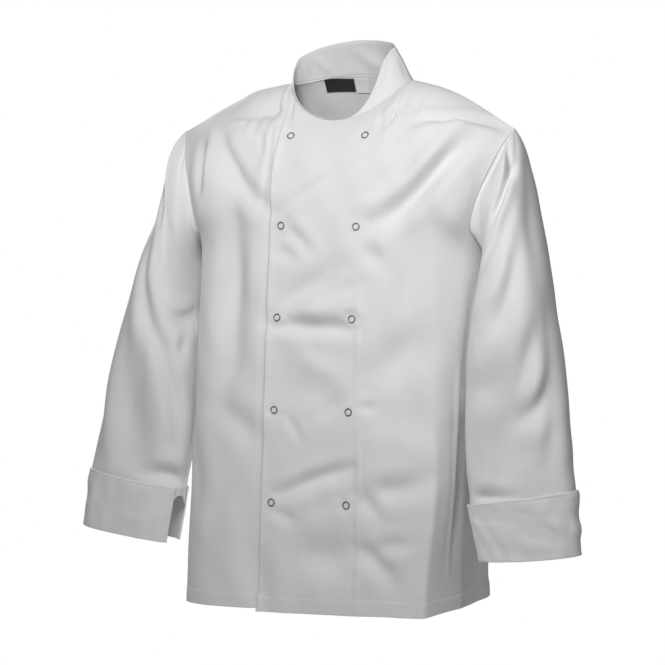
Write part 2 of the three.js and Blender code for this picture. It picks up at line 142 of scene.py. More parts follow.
tapeWeave = {"rib": 0.0005, "yarn": 0.0003}  # spacing of the woven ribs, in metres
tapeLooks = {
    "tape_black": {"light": (0.026, 0.026, 0.03), "dark": (0.012, 0.012, 0.014), "rough": 0.6},
    "tape_white": {"light": (0.95, 0.95, 0.96), "dark": (0.86, 0.86, 0.875), "rough": 0.5},
}


def tapeMaterial(name, look):
    s = Shader(name)
    uv = s.node("UVMap", {"uv_map": "cloth"}, {})
    ribs = s.node("TexWave", {"bands_direction": "Y"},
                  {"Vector": uv, "Scale": waveSpan / tapeWeave["rib"], "Distortion": 0.3}, "Fac")
    yarn = s.node("TexWave", {"bands_direction": "X"},
                  {"Vector": uv, "Scale": waveSpan / tapeWeave["yarn"], "Distortion": 0.5}, "Fac")
    weave = ribs * 0.7 + yarn * 0.3
    colour = s.node("ValToRGB", {"stops": [(0.1, look["dark"]), (0.9, look["light"])]}, {"Fac": weave})
    bump = s.node("Bump", {}, {"Height": weave, "Strength": 0.5, "Distance": 0.00012})
    return s.finish(s.node("BsdfPrincipled", {}, {
        "Base Color": colour, "Roughness": look["rough"] + weave * 0.1, "Normal": bump, "Sheen Weight": 0.15}))


# The jacket's form, in millimetres
jacket = {
    "clothWall": 1.6, "seamGap": 0.4, "layerGap": 0.5,
    "neckHalfWidth": 92, "neckFront": -64, "neckBack": 46, "neckSide": -2, "neckDrop": 62, "neckRise": 16,
    "shoulderTip": (257, -30, -74), "shoulderArch": 15, "neckShare": 0.4,
    "chestLevel": -236, "hemLevel": -750, "hemTilt": 0.055,
    "lapColumn": 0.3, "lapHemDrop": 4, "lapDrift": 9,
}


def named(columns, rows):  # a table as one dictionary a row
    return [dict(zip(columns.split(), row)) for row in rows]


torsoRows = named("z half front back square seam", [
    (-790, 209, -129, 135, 4.7, 0.84),
    (-600, 209, -128, 126, 4.2, 0.84),
    (-450, 212, -123, 115, 3.6, 0.86),
    (-340, 216, -117, 106, 3.1, 0.88),
    (-236, 222, -108, 110, 2.9, 0.9),
])
armholeFront = named("up x y z", [
    (0.18, 211, -68, -219), (0.4, 218, -76, -183), (0.62, 231, -69, -143), (0.82, 245, -52, -103),
])
armholeBack = named("up x y z", [
    (0.18, 219, 8, -219), (0.4, 221, 30, -181), (0.62, 231, 28, -140), (0.82, 245, 4, -100),
])
sleeveRows = named("row outX outZ inX inZ y deep square close bent", [
    (0, 257, -74, 222, -236, -30, 60, 2, 0, 0),
    (1, 269, -92, 228, -254, -33, 66, 2, 7, 0),
    (2, 282, -132, 228, -276, -38, 72, 2, 20, 0),
    (3, 298, -192, 224, -306, -46, 74, 2.1, 25, 1),
    (4, 316, -264, 220, -341, -53, 72, 2.2, 19, 2),
    (5, 332, -340, 216, -387, -57, 67, 2.3, 12, 4),
    (6, 347, -416, 214, -441, -58, 59, 2.4, 4, 6),
    (7, 357, -486, 214, -501, -60, 48, 2.4, -2, 9),
    (8, 364, -540, 218, -556, -62, 40, 2.4, -5, 11),
    (9, 370, -580, 223, -600, -63, 35, 2.4, -7, 13),
    (10, 374, -622, 226, -640, -64, 33, 2.4, -8, 14),
    (11, 379, -666, 228, -682, -65, 31, 2.4, -8, 15),
])
frontFolds = named("u0 v0 u1 v1 wide deep", [
    (205, -92, 60, -200, 26, 8), (175, -70, 95, -150, 24, -5),
    (-150, -84, -92, -205, 22, 6), (-138, -165, -128, -430, 26, 6),
    (-178, -250, -172, -470, 26, -4), (60, -430, 130, -610, 34, -4),
])
backFolds = named("u0 v0 u1 v1 wide deep", [
    (-170, -95, -70, -220, 26, 6), (172, -95, 76, -215, 28, 6),
    (-110, -300, -125, -620, 34, 5), (96, -340, 120, -660, 34, 5),
])


def mix(a, b, t):
    return a + (b - a) * t


def smooth(t):
    t = np.clip(t, 0, 1)
    return t * t * (3 - 2 * t)


def power(value, exponent):
    return np.sign(value) * np.abs(value) ** exponent


def stack(x, y, z):
    return np.stack(np.broadcast_arrays(x, y, z), axis=-1).astype(float)


def unit(v):
    return v / np.linalg.norm(v, axis=-1, keepdims=True)


def tableAt(rows, key, place):  # a table's values at a place, on a smooth curve through its rows
    place = np.asarray(place, float)
    keys = np.array([row[key] for row in rows], float)
    i = np.searchsorted(keys[1:-1], place)
    before, after = np.maximum(i - 1, 0), np.minimum(i + 2, len(rows) - 1)
    span = keys[i + 1] - keys[i]
    t = np.clip((place - keys[i]) / span, 0, 1)
    out = {}
    for name in rows[0]:
        v = np.array([row[name] for row in rows], float)
        rise = v[i + 1] - v[i]
        slopeA = (v[i + 1] - v[before]) / (keys[i + 1] - keys[before]) * span
        slopeB = (v[after] - v[i]) / (keys[after] - keys[i]) * span
        bend = 3 * rise - 2 * slopeA - slopeB
        out[name] = v[i] + t * (slopeA + t * (bend + t * (slopeA + slopeB - 2 * rise)))
    return out


def foldDepth(folds, u, v):  # a soft trough along each line, or a ridge where deep is negative
    depth = np.zeros(np.broadcast(u, v).shape)
    for f in folds:
        du, dv = f["u1"] - f["u0"], f["v1"] - f["v0"]
        along = np.clip(((u - f["u0"]) * du + (v - f["v0"]) * dv) / (du * du + dv * dv), 0, 1)
        off = np.hypot(u - f["u0"] - du * along, v - f["v0"] - dv * along) / f["wide"]
        depth += f["deep"] * np.exp(-off * off) * np.sin(math.pi * mix(0.08, 0.92, along))
    return depth


outlineSteps = 144


def bodyPoint(column, z, isBack):  # on the torso's outline at a height, by share of the way round to the seam
    column, z = np.broadcast_arrays(np.asarray(column, float), np.asarray(z, float))
    flat, spots = column.ravel(), []
    for part in np.array_split(np.arange(flat.size), flat.size // 4000 + 1):
        row = {name: v[:, None] for name, v in tableAt(torsoRows, "z", z.ravel()[part]).items()}
        angle = np.linspace(0, math.pi, outlineSteps + 1)
        middle = (row["front"] + row["back"]) / 2
        x = row["half"] * np.clip(np.sin(angle), 0, 1) ** (2 / row["square"])
        y = middle - (middle - row["front"]) * power(np.cos(angle), 2 / row["square"])
        length = np.hypot(np.diff(x, prepend=0), np.diff(y, prepend=y[:, :1])).cumsum(axis=1)
        seam = length[:, outlineSteps // 2] * row["seam"][:, 0]
        share = flat[part]
        wanted = length[:, -1] - (length[:, -1] - seam) * share if isBack else seam * share
        i = np.clip((length < wanted[:, None]).sum(axis=1), 1, outlineSteps)
        pick = np.arange(len(part))
        t = (wanted - length[pick, i - 1]) / (length[pick, i] - length[pick, i - 1])
        spots.append(np.stack([mix(x[pick, i - 1], x[pick, i], t), mix(y[pick, i - 1], y[pick, i], t),
                               z.ravel()[part], wanted], axis=-1))
    return np.concatenate(spots).reshape(*column.shape, 4)


def necklinePoint(angle):  # by its angle round the neck: 0 at the centre front, 90 at a shoulder
    c = np.cos(np.radians(angle))
    front, back = np.clip(c, 0, None), np.clip(-c, 0, None)
    z = jacket["neckSide"] - jacket["neckDrop"] * front ** 1.6 + jacket["neckRise"] * back ** 1.5
    return stack(jacket["neckHalfWidth"] * np.sin(np.radians(angle)),
                 front * jacket["neckFront"] + back * jacket["neckBack"], z)


def topEdge(column, isBack):  # the neckline, then the shoulder seam
    share = jacket["neckShare"]
    turn = 90 * np.minimum(1, column / share)
    t = np.clip((column - share) / (1 - share), 0, 1)[..., None]
    neck = necklinePoint(180 - turn if isBack else turn)
    arch = jacket["shoulderArch"] * np.sin(math.pi * t) * (1 - t) ** 0.4
    shoulder = mix(necklinePoint(90.0), np.array(jacket["shoulderTip"], float), t) + arch * np.array([0, 0, 1])
    return np.where((column <= share)[..., None], neck, shoulder)


def armholePoint(up, isBack):
    x, y, z, _ = bodyPoint(1, jacket["chestLevel"], False)
    ends = named("up x y z", [(0, x, y, z), (1, *jacket["shoulderTip"])])
    at = tableAt([ends[0], *(armholeBack if isBack else armholeFront), ends[1]], "up", up)
    return stack(at["x"], at["y"], at["z"])


def upperPoint(column, up, isBack):  # between the chest line and the top edge, before the armhole draws it in
    chest = bodyPoint(column, jacket["chestLevel"], isBack)
    top = topEdge(column, isBack)
    neckCurve = up ** (2.6 if isBack else 3.2)
    shoulderCurve = 1 - np.clip(1 - up ** 2.3, 0, 1) ** 0.56
    share = smooth((column - 0.4 * jacket["neckShare"]) / (0.9 * jacket["neckShare"]))
    return stack(mix(chest[..., 0], top[..., 0], up ** 1.5),
                 mix(chest[..., 1], top[..., 1], mix(neckCurve, shoulderCurve, share)),
                 mix(chest[..., 2], top[..., 2], up))


def driftAt(z):  # how far the lap has moved to the wearer's left at a height
    return jacket["lapDrift"] * smooth((jacket["chestLevel"] + 110 - z) / (jacket["chestLevel"] - jacket["hemLevel"]))


def torsoOut(point):  # out of the cloth, the same for every piece that passes there
    row = tableAt(torsoRows, "z", np.minimum(point[..., 2], jacket["chestLevel"]))
    middle, deep = (row["front"] + row["back"]) / 2, (row["back"] - row["front"]) / 2
    out = unit(stack(power(point[..., 0] / row["half"], row["square"] - 1) / row["half"],
                     power((point[..., 1] - middle) / deep, row["square"] - 1) / deep, 0))
    wide, tip = jacket["neckHalfWidth"], jacket["shoulderTip"]
    far = np.abs(point[..., 0])
    seamZ = mix(jacket["neckSide"], tip[2], np.clip((far - wide) / (tip[0] - wide), 0, 1))
    near = smooth(1 - (seamZ - point[..., 2]) / 90) * smooth((far - 40) / 50)
    slope = math.atan2(jacket["neckSide"] - tip[2], tip[0] - wide)
    upward = stack(np.sign(point[..., 0]) * math.sin(slope), 0, math.cos(slope))
    return unit(mix(out, upward, near[..., None]))


def torsoCloth(column, rise, isBack, side):
    # rise is 0 at the hem, 1 at the chest line and 2 at the top edge; side is 1 on the wearer's left.
    # Gives the place and its length along the cloth from the centre line.
    column, rise, side = (np.asarray(a, float) for a in (column, rise, side))
    column, rise, side = np.broadcast_arrays(column, rise, side)
    foot = bodyPoint(column, jacket["hemLevel"], isBack)[..., 0]
    z = mix(jacket["hemLevel"] + jacket["hemTilt"] * foot * side, jacket["chestLevel"], np.minimum(rise, 1))
    low = bodyPoint(column, z, isBack)
    up = np.sin(np.clip(rise - 1, 0, 1) * math.pi / 2)
    draw = smooth((column - 0.3) / 0.7)[..., None] ** 1.4
    high = upperPoint(column, up, isBack)
    high += draw * (armholePoint(up, isBack) - upperPoint(np.ones_like(column), up, isBack))
    point = np.where((rise <= 1)[..., None], low[..., :3], high)
    point[..., 0] *= side
    depth = foldDepth(backFolds if isBack else frontFolds, point[..., 0], point[..., 2])
    depth *= smooth((1 - column) / 0.15) * smooth((2 - rise) / 0.15)
    point[..., 1] += (-1 if isBack else 1) * depth
    if not isBack:
        point[..., 0] += driftAt(point[..., 2]) * (1 - smooth((np.abs(point[..., 0]) - 70) / 90))
    along = bodyPoint(0 * column, z, True)[..., 3] - low[..., 3] if isBack else low[..., 3]
    return point, along * side


rowTurn = 30
sleeveFolds = named("u0 v0 u1 v1 wide deep", [
    (1.2 * rowTurn, 60, 4 * rowTurn, 96, 24, 6), (5 * rowTurn, 84, 8.6 * rowTurn, 92, 22, 6),
    (2 * rowTurn, 250, 5 * rowTurn, 285, 26, 6), (5.5 * rowTurn, 300, 8.6 * rowTurn, 262, 24, 5),
])


def sleevePoint(row, turn, side):  # by row down the sleeve and turn from the outer line, with the front at 90
    row, turn = np.broadcast_arrays(np.asarray(row, float), np.asarray(turn, float) % 360)
    ring = tableAt(sleeveRows, "row", row)
    c = power(np.cos(np.radians(turn)), 2 / ring["square"])
    s = power(np.sin(np.radians(turn)), 2 / ring["square"])
    outX = ring["outX"] - (ring["close"] if side < 0 else 0)
    point = stack(mix(ring["inX"], outX, (1 + c) / 2), ring["y"] - ring["deep"] * s,
                  mix(ring["inZ"], ring["outZ"], (1 + c) / 2) + (ring["bent"] if side > 0 else 0))
    isBack = turn > 180
    up = np.cos(np.radians(np.where(isBack, 360 - turn, turn)) / 2)
    hole = np.where(isBack[..., None], armholePoint(up, True), armholePoint(up, False))
    hole = hole + np.array([jacket["seamGap"] / 2, 0, 0])
    point = mix(point, hole, np.where(row < 1.5, 1 - smooth(row / 1.5), 0)[..., None])
    wide, fall = outX - ring["inX"], ring["outZ"] - ring["inZ"]
    share = 2 * c * ring["deep"] / (wide ** 2 + fall ** 2)
    radial = unit(stack(wide * share, -s, fall * share))
    depth = foldDepth(sleeveFolds, row * rowTurn, turn) * smooth(row / 1.2) * smooth((9 - row) / 0.8)
    point -= radial * depth[..., None]
    point[..., 0] *= side
    radial[..., 0] *= side
    return point, radial


# Creases: a trough from one place to another, or a ridge where deep is negative. bow bends it to its left,
# edge makes its left side steeper, and u and v are millimetres on the body or turns and rows on a sleeve.
creaseColumns = "u0 v0 u1 v1 wide deep bow edge"
frontCreases = named(creaseColumns, [
    # wearer's right front, beside the lap
    (-185, -77, -78, -195, 11, 3.8, -16, 0.5), (-152, -139, -126, -415, 15, 4.2, 5, 0.1),
    (-126, -405, -140, -470, 13, 1.8, 0, 0), (-128, -55, -118, -90, 5, 1.5, 0, 0),
    (-111, -72, -105, -110, 4.5, 1.2, 0, 0), (-143, -56, -137, -74, 4, 1.0, 0, 0),
    (-88, -76, -92, -190, 6, 1.8, 3, 0.3), (-213, -92, -214, -150, 7, 2.4, 0, 0),
    (-152, -470, -76, -526, 15, 2.4, 4, 0), (-92, -650, -72, -738, 17, 2.8, 0, 0.2),
    (-80, -64, -196, -74, 9, -1.8, -8, 0.2), (-84, -44, -172, -50, 15, 5.2, 4, 0),
    (-206, -90, -208, -168, 6, 2.4, 0, 0.4), (-100, -250, -112, -330, 12, -1.2, 0, 0),
    (-190, -540, -176, -640, 14, 1.6, 0, 0), (-118, -580, -150, -640, 12, 1.3, 0, 0),
    # lap panel, between the snap columns
    (-70, -203, 44, -119, 6, 1.3, -3, 0.4), (-50, -340, 33, -273, 15, 4.4, 4, 0.3),
    (-74, -353, 64, -356, 9, 3.2, -3, 0.3), (-46, -328, 60, -330, 12, -2.4, 0, 0),
    (-48, -219, -9, -256, 8, 1.9, 3, 0), (36, -308, 62, -293, 8, 1.5, 0, 0),
    (70, -243, 98, -268, 10, 2.0, 0, 0), (-47, -596, 63, -550, 9, 3.8, 4, 0.5),
    (-22, -389, 40, -430, 12, -1.6, 0, 0), (-14, -672, 68, -674, 22, 4.6, 0, 0),
    (-37, -480, -13, -518, 6, 1.0, 0, 0), (-30, -440, 20, -455, 14, 1.1, 0, 0),
    (10, -480, 52, -452, 9, 1.2, 0, 0), (-60, -610, -20, -628, 7, 1.2, 0, 0), (-66, -250, -28, -262, 8, 1.1, 0, 0),
    # wearer's left front
    (213, -86, 70, -213, 13, 6.2, 17, 0.4), (190, -78, 80, -184, 12, -4.0, 8, 0),
    (172, -78, 77, -170, 10, 2.3, 9, 0.2), (141, -232, 126, -338, 16, 2.4, 4, 0),
    (87, -431, 162, -369, 22, 4.4, 4, 0), (91, -580, 164, -555, 13, 3.4, -7, 0.3),
    (75, -585, 109, -613, 10, 2.8, 0, 0.3), (73, -657, 130, -700, 11, 3.4, 4, 0.4),
    (106, -656, 147, -644, 9, 2.0, 0, 0), (58, -46, 77, -90, 5, 1.0, 0, 0), (96, -52, 82, -78, 4, 1.0, 0, 0),
    (128, -26, 127, -62, 4.5, 1.6, 0, 0.4), (98, -30, 105, -74, 4, -1.2, 0, 0), (74, -464, 95, -464, 6, 1.5, 0, 0),
    (130, -71, 250, -77, 6, 3.6, 14, 0.5), (140, -44, 226, -50, 13, 2.6, 0, 0), (176, -330, 190, -470, 18, -1.6, 0, 0),
    (118, -500, 170, -520, 16, -1.5, 0, 0), (216, -400, 222, -690, 3.5, -1.1, 0, 0),
    (235, -300, 244, -430, 12, 2.0, 0, 0), (240, -480, 232, -660, 14, 1.8, 0, 0),
    (-66, -30, -58, -68, 5, 2.6, 0, 0.3), (110, -38, 60, -76, 8, 1.6, 3, 0),
    # the under front's edge, pressed through the lap
    (71, -500, 77, -742, 3.2, -1.5, 0, 0.8), (64, -300, 70, -490, 3, -0.8, 0, 0.5),
])
backCreases = named(creaseColumns, [
    (-214, -86, -86, -196, 12, 3.8, -14, 0.3), (210, -88, 74, -205, 13, 4.0, 14, 0.3),
    (-176, -70, -96, -140, 10, -2.2, -6, 0), (186, -74, 104, -148, 11, -2.4, 6, 0),
    (-30, -60, -46, -150, 9, 1.3, 0, 0), (24, -64, 40, -170, 10, 1.5, 0, 0), (-228, -190, -150, -262, 12, 3.2, 8, 0.2),
    (232, -186, 148, -250, 12, 3.4, -8, 0.2), (-104, -290, -122, -560, 15, 3.0, 6, 0.2),
    (96, -330, 118, -640, 16, 3.2, -5, 0.2), (-30, -380, -22, -610, 20, 2.0, 0, 0),
    (40, -260, 20, -420, 18, -1.8, 0, 0),
    (-190, -330, -176, -600, 16, 2.4, 0, 0), (188, -300, 182, -560, 15, 2.6, 0, 0),
    (-60, -520, 30, -570, 12, 1.8, 6, 0),
    (-150, -620, -70, -690, 13, 2.3, 5, 0), (70, -640, 150, -704, 13, 2.4, -5, 0), (150, -440, 90, -500, 11, 1.8, 0, 0),
    (-235, -420, -226, -690, 12, 2.0, 0, 0), (236, -440, 230, -680, 12, 1.8, 0, 0),
    (-20, -640, 12, -735, 14, 1.8, 0, 0),
])
sleeveCreases = {
    -1: named(creaseColumns, [
        (6, 30, 40, 92, 11, 2.8, 4, 0.3), (29, 138, 28, 174, 7, 2.6, 0, 0.4), (132, 136, 121, 188, 8, 3.2, -5, 0.4),
        (106, 60, 160, 122, 9, 3.4, -5, 0.3), (158, 119, 222, 148, 10, 3.0, 4, 0.2), (163, 57, 252, 97, 14, 3.2, 6, 0),
        (94, 114, 108, 180, 11, 2.2, 0, 0), (145, 164, 161, 149, 7, 2.0, 0, 0), (52, 8, 102, 46, 11, 3.4, 0, 0.4),
        (262, 108, 266, 172, 8, 4.6, 4, 0.6), (10, 60, 60, 130, 9, 2.0, 5, 0.2), (60, 100, 84, 150, 9, 1.6, 0, 0),
        (200, 20, 262, 40, 13, 1.6, 0, 0), (30, 205, 96, 262, 12, 3.4, 6, 0.2), (120, 215, 176, 256, 12, 3.0, -4, 0.2),
        (150, 300, 246, 268, 15, 3.2, 5, 0), (60, 318, 130, 292, 13, 2.6, 0, 0), (255, 250, 262, 310, 9, 3.0, 3, 0.4),
        (20, 262, 44, 330, 11, 2.6, 0, 0), (196, 196, 240, 214, 10, 2.0, 0, 0),
    ]),
    1: named(creaseColumns, [
        (21, 50, 8, 108, 7, 4.2, -3, 0.5), (12, 36, 52, 41, 6.5, 3.6, 2, 0.4), (47, 38, 59, 84, 6.5, 4.2, -4, 0.6),
        (28, 21, 62, 36, 7, 2.2, 0, 0.2), (50, 42, 25, 102, 7, 2.0, -3, 0), (104, 48, 147, 104, 10, 4.2, -4, 0.3),
        (99, 88, 100, 138, 9, 3.2, 0, 0.3), (157, 40, 188, 74, 8, 3.0, 3, 0.5), (188, 40, 205, 80, 6.5, 4.4, -3, 0.6),
        (188, 68, 252, 104, 15, 3.2, 4, 0.2), (147, 12, 254, 54, 12, 2.6, 3, 0.2), (185, 124, 178, 98, 9, 2.2, 0, 0),
        (155, 114, 145, 84, 12, -2.6, 0, 0), (264, 138, 269, 96, 7, 3.2, 0, 0.5), (62, 56, 88, 96, 9, -1.8, 0, 0),
        (212, 118, 246, 136, 10, 1.8, 0, 0), (66, 10, 120, 30, 12, 2.0, 0, 0), (26, 200, 90, 258, 12, 3.4, -6, 0.2),
        (112, 212, 170, 262, 12, 3.2, 4, 0.2), (148, 304, 250, 272, 15, 3.0, -5, 0), (56, 322, 124, 290, 13, 2.8, 0, 0),
        (258, 245, 263, 315, 9, 3.0, -3, 0.4), (16, 258, 42, 332, 11, 2.6, 0, 0), (200, 190, 238, 212, 10, 2.2, 0, 0),
    ]),
}
cuffCreases = {
    -1: named(creaseColumns, [
        (300, 100, 276, 132, 8, 1.8, 0, 0.4), (282, 60, 312, 78, 9, 1.0, 0, 0), (290, -40, 306, 0, 10, 1.4, 0, 0),
        (276, -120, 300, -90, 9, 1.4, 0, 0),
    ]),
    1: named(creaseColumns, [
        (273, 158, 285, 112, 8, 2.2, 0, 0.4), (269, 106, 304, 62, 8, 1.8, 4, 0.2), (301, 72, 311, 48, 6, 1.6, 0, 0.3),
        (285, 36, 308, 22, 8, 1.2, 0, 0), (290, -60, 306, -20, 10, 1.4, 0, 0), (276, -130, 300, -96, 9, 1.4, 0, 0),
    ]),
}


def creaseDepth(rows, u, v, spread=1):
    depth = np.zeros(np.broadcast(u, v).shape)
    u, v = np.broadcast_arrays(u, v)
    t = np.linspace(0, 1, 25)
    for f in rows:
        wide = f["wide"] * spread
        du, dv = f["u1"] - f["u0"], f["v1"] - f["v0"]
        length = math.hypot(du, dv)
        reach = 3.2 * wide + abs(f["bow"])
        near = ((u > min(f["u0"], f["u1"]) - reach) & (u < max(f["u0"], f["u1"]) + reach)
                & (v > min(f["v0"], f["v1"]) - reach) & (v < max(f["v0"], f["v1"]) + reach))
        if not near.any():
            continue
        sag = 4 * f["bow"] * t * (1 - t)
        lineU, lineV = f["u0"] + du * t - dv / length * sag, f["v0"] + dv * t + du / length * sag
        tangentU, tangentV = np.gradient(lineU), np.gradient(lineV)
        size = np.hypot(tangentU, tangentV)
        offU, offV = u[near][:, None] - lineU, v[near][:, None] - lineV
        k = np.argmin(offU ** 2 + offV ** 2, axis=1)
        pick = np.arange(len(k))
        offU, offV = offU[pick, k], offV[pick, k]
        tangentU, tangentV = (tangentU / size)[k], (tangentV / size)[k]
        beside = (offV * tangentU - offU * tangentV) / wide
        ahead = offU * tangentU + offV * tangentV
        along = t[k] + ahead / length
        past = np.maximum(0, np.abs(along - 0.5) - 0.5) * length / wide
        away = np.abs(beside)
        shape = np.exp(-away ** 2) * (1 + 0.8 * f["edge"] * beside) - 0.28 * np.exp(-(away - 1.9) ** 2)
        depth[near] += f["deep"] * shape * np.exp(-past ** 2) * np.sin(math.pi * mix(0.12, 0.88, np.clip(along, 0, 1)))
    return depth


def rumple(u, v, size, seed):  # soft uneven waves about one millimetre high
    draw = np.random.RandomState(seed)
    height = np.zeros(np.broadcast(u, v).shape)
    for _ in range(9):
        turn, pitch, start = draw.uniform(0, math.pi), size * draw.uniform(0.6, 1.7), draw.uniform(0, 2 * math.pi)
        across = (u * math.sin(turn) - v * math.cos(turn)) * 2 * math.pi / (size * 3.1)
        swing = draw.uniform(0.2, 0.7) * np.sin(across + start)
        height += np.sin((u * math.cos(turn) + v * math.sin(turn)) * 2 * math.pi / pitch + start + swing)
    return height / 3


# Cloth meshes
def spaced(total, start, end, pitch):  # places along a width: close together near its edges, then even
    tail = [total - e for e in reversed(end)]
    count = max(2, round((tail[0] - start[-1]) / pitch))
    return np.array(list(start[:-1]) + list(np.linspace(start[-1], tail[0], count + 1)) + tail[1:])


def edgeRound(*distances):  # a wall's share of its thickness near its free edges, so that they are rounded
    share = np.minimum.reduce([np.clip(d / 0.9, 0, 1) for d in distances])
    return 0.35 + 0.65 * np.sqrt(1 - (1 - share) ** 2)


def clothMesh(name, face, rear, material, isRing=False):
    # a closed wall between two grids; the first looks along across x along
    rows, across = face.shape[:2]
    spans = across if isRing else across - 1
    places = np.concatenate([face.reshape(-1, 3), rear.reshape(-1, 3)]) * mm
    lap = np.concatenate([face, face[:, :1]], axis=1) if isRing else face
    alongU = np.linalg.norm(np.diff(lap[rows // 2], axis=0), axis=-1).cumsum()
    u = np.concatenate([[0], alongU]) * mm
    v = np.concatenate([[0], np.linalg.norm(np.diff(face[:, across // 2], axis=0), axis=-1).cumsum()]) * mm
    j, i = (grid.ravel() for grid in np.mgrid[0:rows - 1, 0:spans])
    shift = rows * across
    corners, flat = [], []

    def quads(*four):
        corners.append(np.stack([side * shift + a * across + b % across for side, a, b in four], axis=-1))
        flat.append(np.stack([np.stack([u[b], v[a]], axis=-1) for _, a, b in four], axis=1))

    quads((0, j, i), (0, j, i + 1), (0, j + 1, i + 1), (0, j + 1, i))
    quads((1, j, i), (1, j + 1, i), (1, j + 1, i + 1), (1, j, i + 1))
    b = np.arange(spans)
    low, top = np.zeros_like(b), np.full_like(b, rows - 1)
    quads((0, low, b), (1, low, b), (1, low, b + 1), (0, low, b + 1))
    quads((0, top, b), (0, top, b + 1), (1, top, b + 1), (1, top, b))
    if not isRing:
        a = np.arange(rows - 1)
        first, last = np.zeros_like(a), np.full_like(a, across - 1)
        quads((0, a, first), (0, a + 1, first), (1, a + 1, first), (1, a, first))
        quads((0, a, last), (1, a, last), (1, a + 1, last), (0, a + 1, last))
    mesh = bpy.data.meshes.new(name)
    mesh.from_pydata(places.tolist(), [], np.concatenate(corners).tolist())
    mesh.uv_layers.new(name="cloth").data.foreach_set("uv", np.concatenate(flat).ravel())
    mesh.polygons.foreach_set("use_smooth", [True] * len(mesh.polygons))
    mesh.materials.append(material)
    piece = bpy.data.objects.new(name, mesh)
    bpy.context.scene.collection.objects.link(piece)
    return piece


def normalsOf(grid, flip=1):
    out = np.cross(np.gradient(grid, axis=1), np.gradient(grid, axis=0))
    return unit(out) * flip


def gridLine(grid, normals, rows, columns):  # places and normals on a grid at broken row and column numbers
    rows, columns = np.broadcast_arrays(np.asarray(rows, float), np.asarray(columns, float))
    j, i = np.minimum(rows.astype(int), grid.shape[0] - 2), np.minimum(columns.astype(int), grid.shape[1] - 2)
    s, t = (rows - j)[:, None], (columns - i)[:, None]
    blend = [mix(mix(g[j, i], g[j, i + 1], t), mix(g[j + 1, i], g[j + 1, i + 1], t), s) for g in (grid, normals)]
    return blend[0], unit(blend[1])


# Topstitching: short rounded threads along a line, each sunk a little into the cloth
stitches = {"pitch": 3.3, "length": 2.5, "radius": 0.3, "sink": 0.08, "sides": 5, "rings": (-0.5, -0.32, 0.32, 0.5)}


def sewLines(name, lines, material):
    places, faces = [], []
    sides, rings = stitches["sides"], stitches["rings"]
    angle = np.arange(sides) * 2 * math.pi / sides
    for points, normals in lines:
        length = np.concatenate([[0], np.linalg.norm(np.diff(points, axis=0), axis=-1).cumsum()])
        middles = np.arange(stitches["pitch"], length[-1] - stitches["pitch"] / 2, stitches["pitch"])
        at = np.stack([np.interp(middles, length, points[:, k]) for k in range(3)], axis=-1)
        ahead = np.stack([np.interp(middles + 0.5, length, points[:, k]) for k in range(3)], axis=-1)
        tangent = unit(ahead - at + 1e-9)
        normal = unit(np.stack([np.interp(middles, length, normals[:, k]) for k in range(3)], axis=-1))
        beside = unit(np.cross(tangent, normal))
        for spot, run, up, across in zip(at, tangent, normal, beside):
            first = len(places)
            for ring in rings:
                radius = stitches["radius"] * (0.45 if abs(ring) == 0.5 else 1)
                centre = spot + up * (radius * 0.3 - stitches["sink"]) + run * ring * stitches["length"]
                places.extend(centre + radius * (math.cos(a) * up + math.sin(a) * across) for a in angle)
            for r in range(len(rings) - 1):
                for s in range(sides):
                    a, b = first + r * sides + s, first + r * sides + (s + 1) % sides
                    faces.append((a, a + sides, b + sides, b))
            faces.append([first + s for s in range(sides)])
            faces.append([first + (len(rings) - 1) * sides + s for s in reversed(range(sides))])
    mesh = bpy.data.meshes.new(name)
    mesh.from_pydata([list(p * mm) for p in places], [], faces)
    mesh.polygons.foreach_set("use_smooth", [True] * len(mesh.polygons))
    mesh.materials.append(material)
    piece = bpy.data.objects.new(name, mesh)
    bpy.context.scene.collection.objects.link(piece)
    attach(piece, "root")
    return piece


# Fronts and back
fronts = {
    "pitch": 3.7, "rows": 74, "upperLength": 400,  # spacing of the mesh, rows above the chest line and their length
    "creases": 2.0, "spread": 1.15, "rumple": 1.0, "rumpleSize": 80, "pucker": 0.22, "puckerWide": 6.5,
    "hem": 20.5, "hemStep": 0.45, "hemGroove": 0.4,
    "lapTurn": 0.13, "lapLift": 2.6, "lapLiftWide": 9, "lapRoll": 2.6, "lapRollWide": 2.4,
    "lapGroove": 2.4, "lapGrooveWide": 4.5, "lapStitch": 6.2, "lapStep": 0.25, "stitchGroove": 0.35,
}
# the pressed line down the lap, over the edge of the front below it
facing = {"top": 66, "foot": 77, "from": -330, "length": 400, "start": -300, "fade": 60, "pucker": 1.5, "groove": 0.35,
          "wide": 1.2}
edgePlaces = (0, 0.25, 0.9, 2.2, 4, 5.3, 6.2, 7.1, 8.6, 11)
seamPlaces = (0, 0.25, 0.9, 2.2, 4.5)
hemPlaces = (0, 0.25, 0.9, 2.5, 6, 10, 14, 17, 19, 20, 20.5, 21, 22, 24.5)
snaps = {"pitch": 128.5, "first": -87, "rows": 5, "offset": 57, "seat": 0.05, "nudge": 0.012,
         "flat": 5, "flatFade": 12, "pucker": 0.65, "puckerWide": 15}
chestShare = bodyPoint(1.0, jacket["chestLevel"], False)[3]  # from the centre front round to the side seam


def riseAt(z, column):
    top = topEdge(np.asarray(column, float), False)[..., 2]
    if z < jacket["chestLevel"]:
        return (z - jacket["hemLevel"]) / (jacket["chestLevel"] - jacket["hemLevel"])
    return 1 + math.asin((z - jacket["chestLevel"]) / (top - jacket["chestLevel"])) * 2 / math.pi


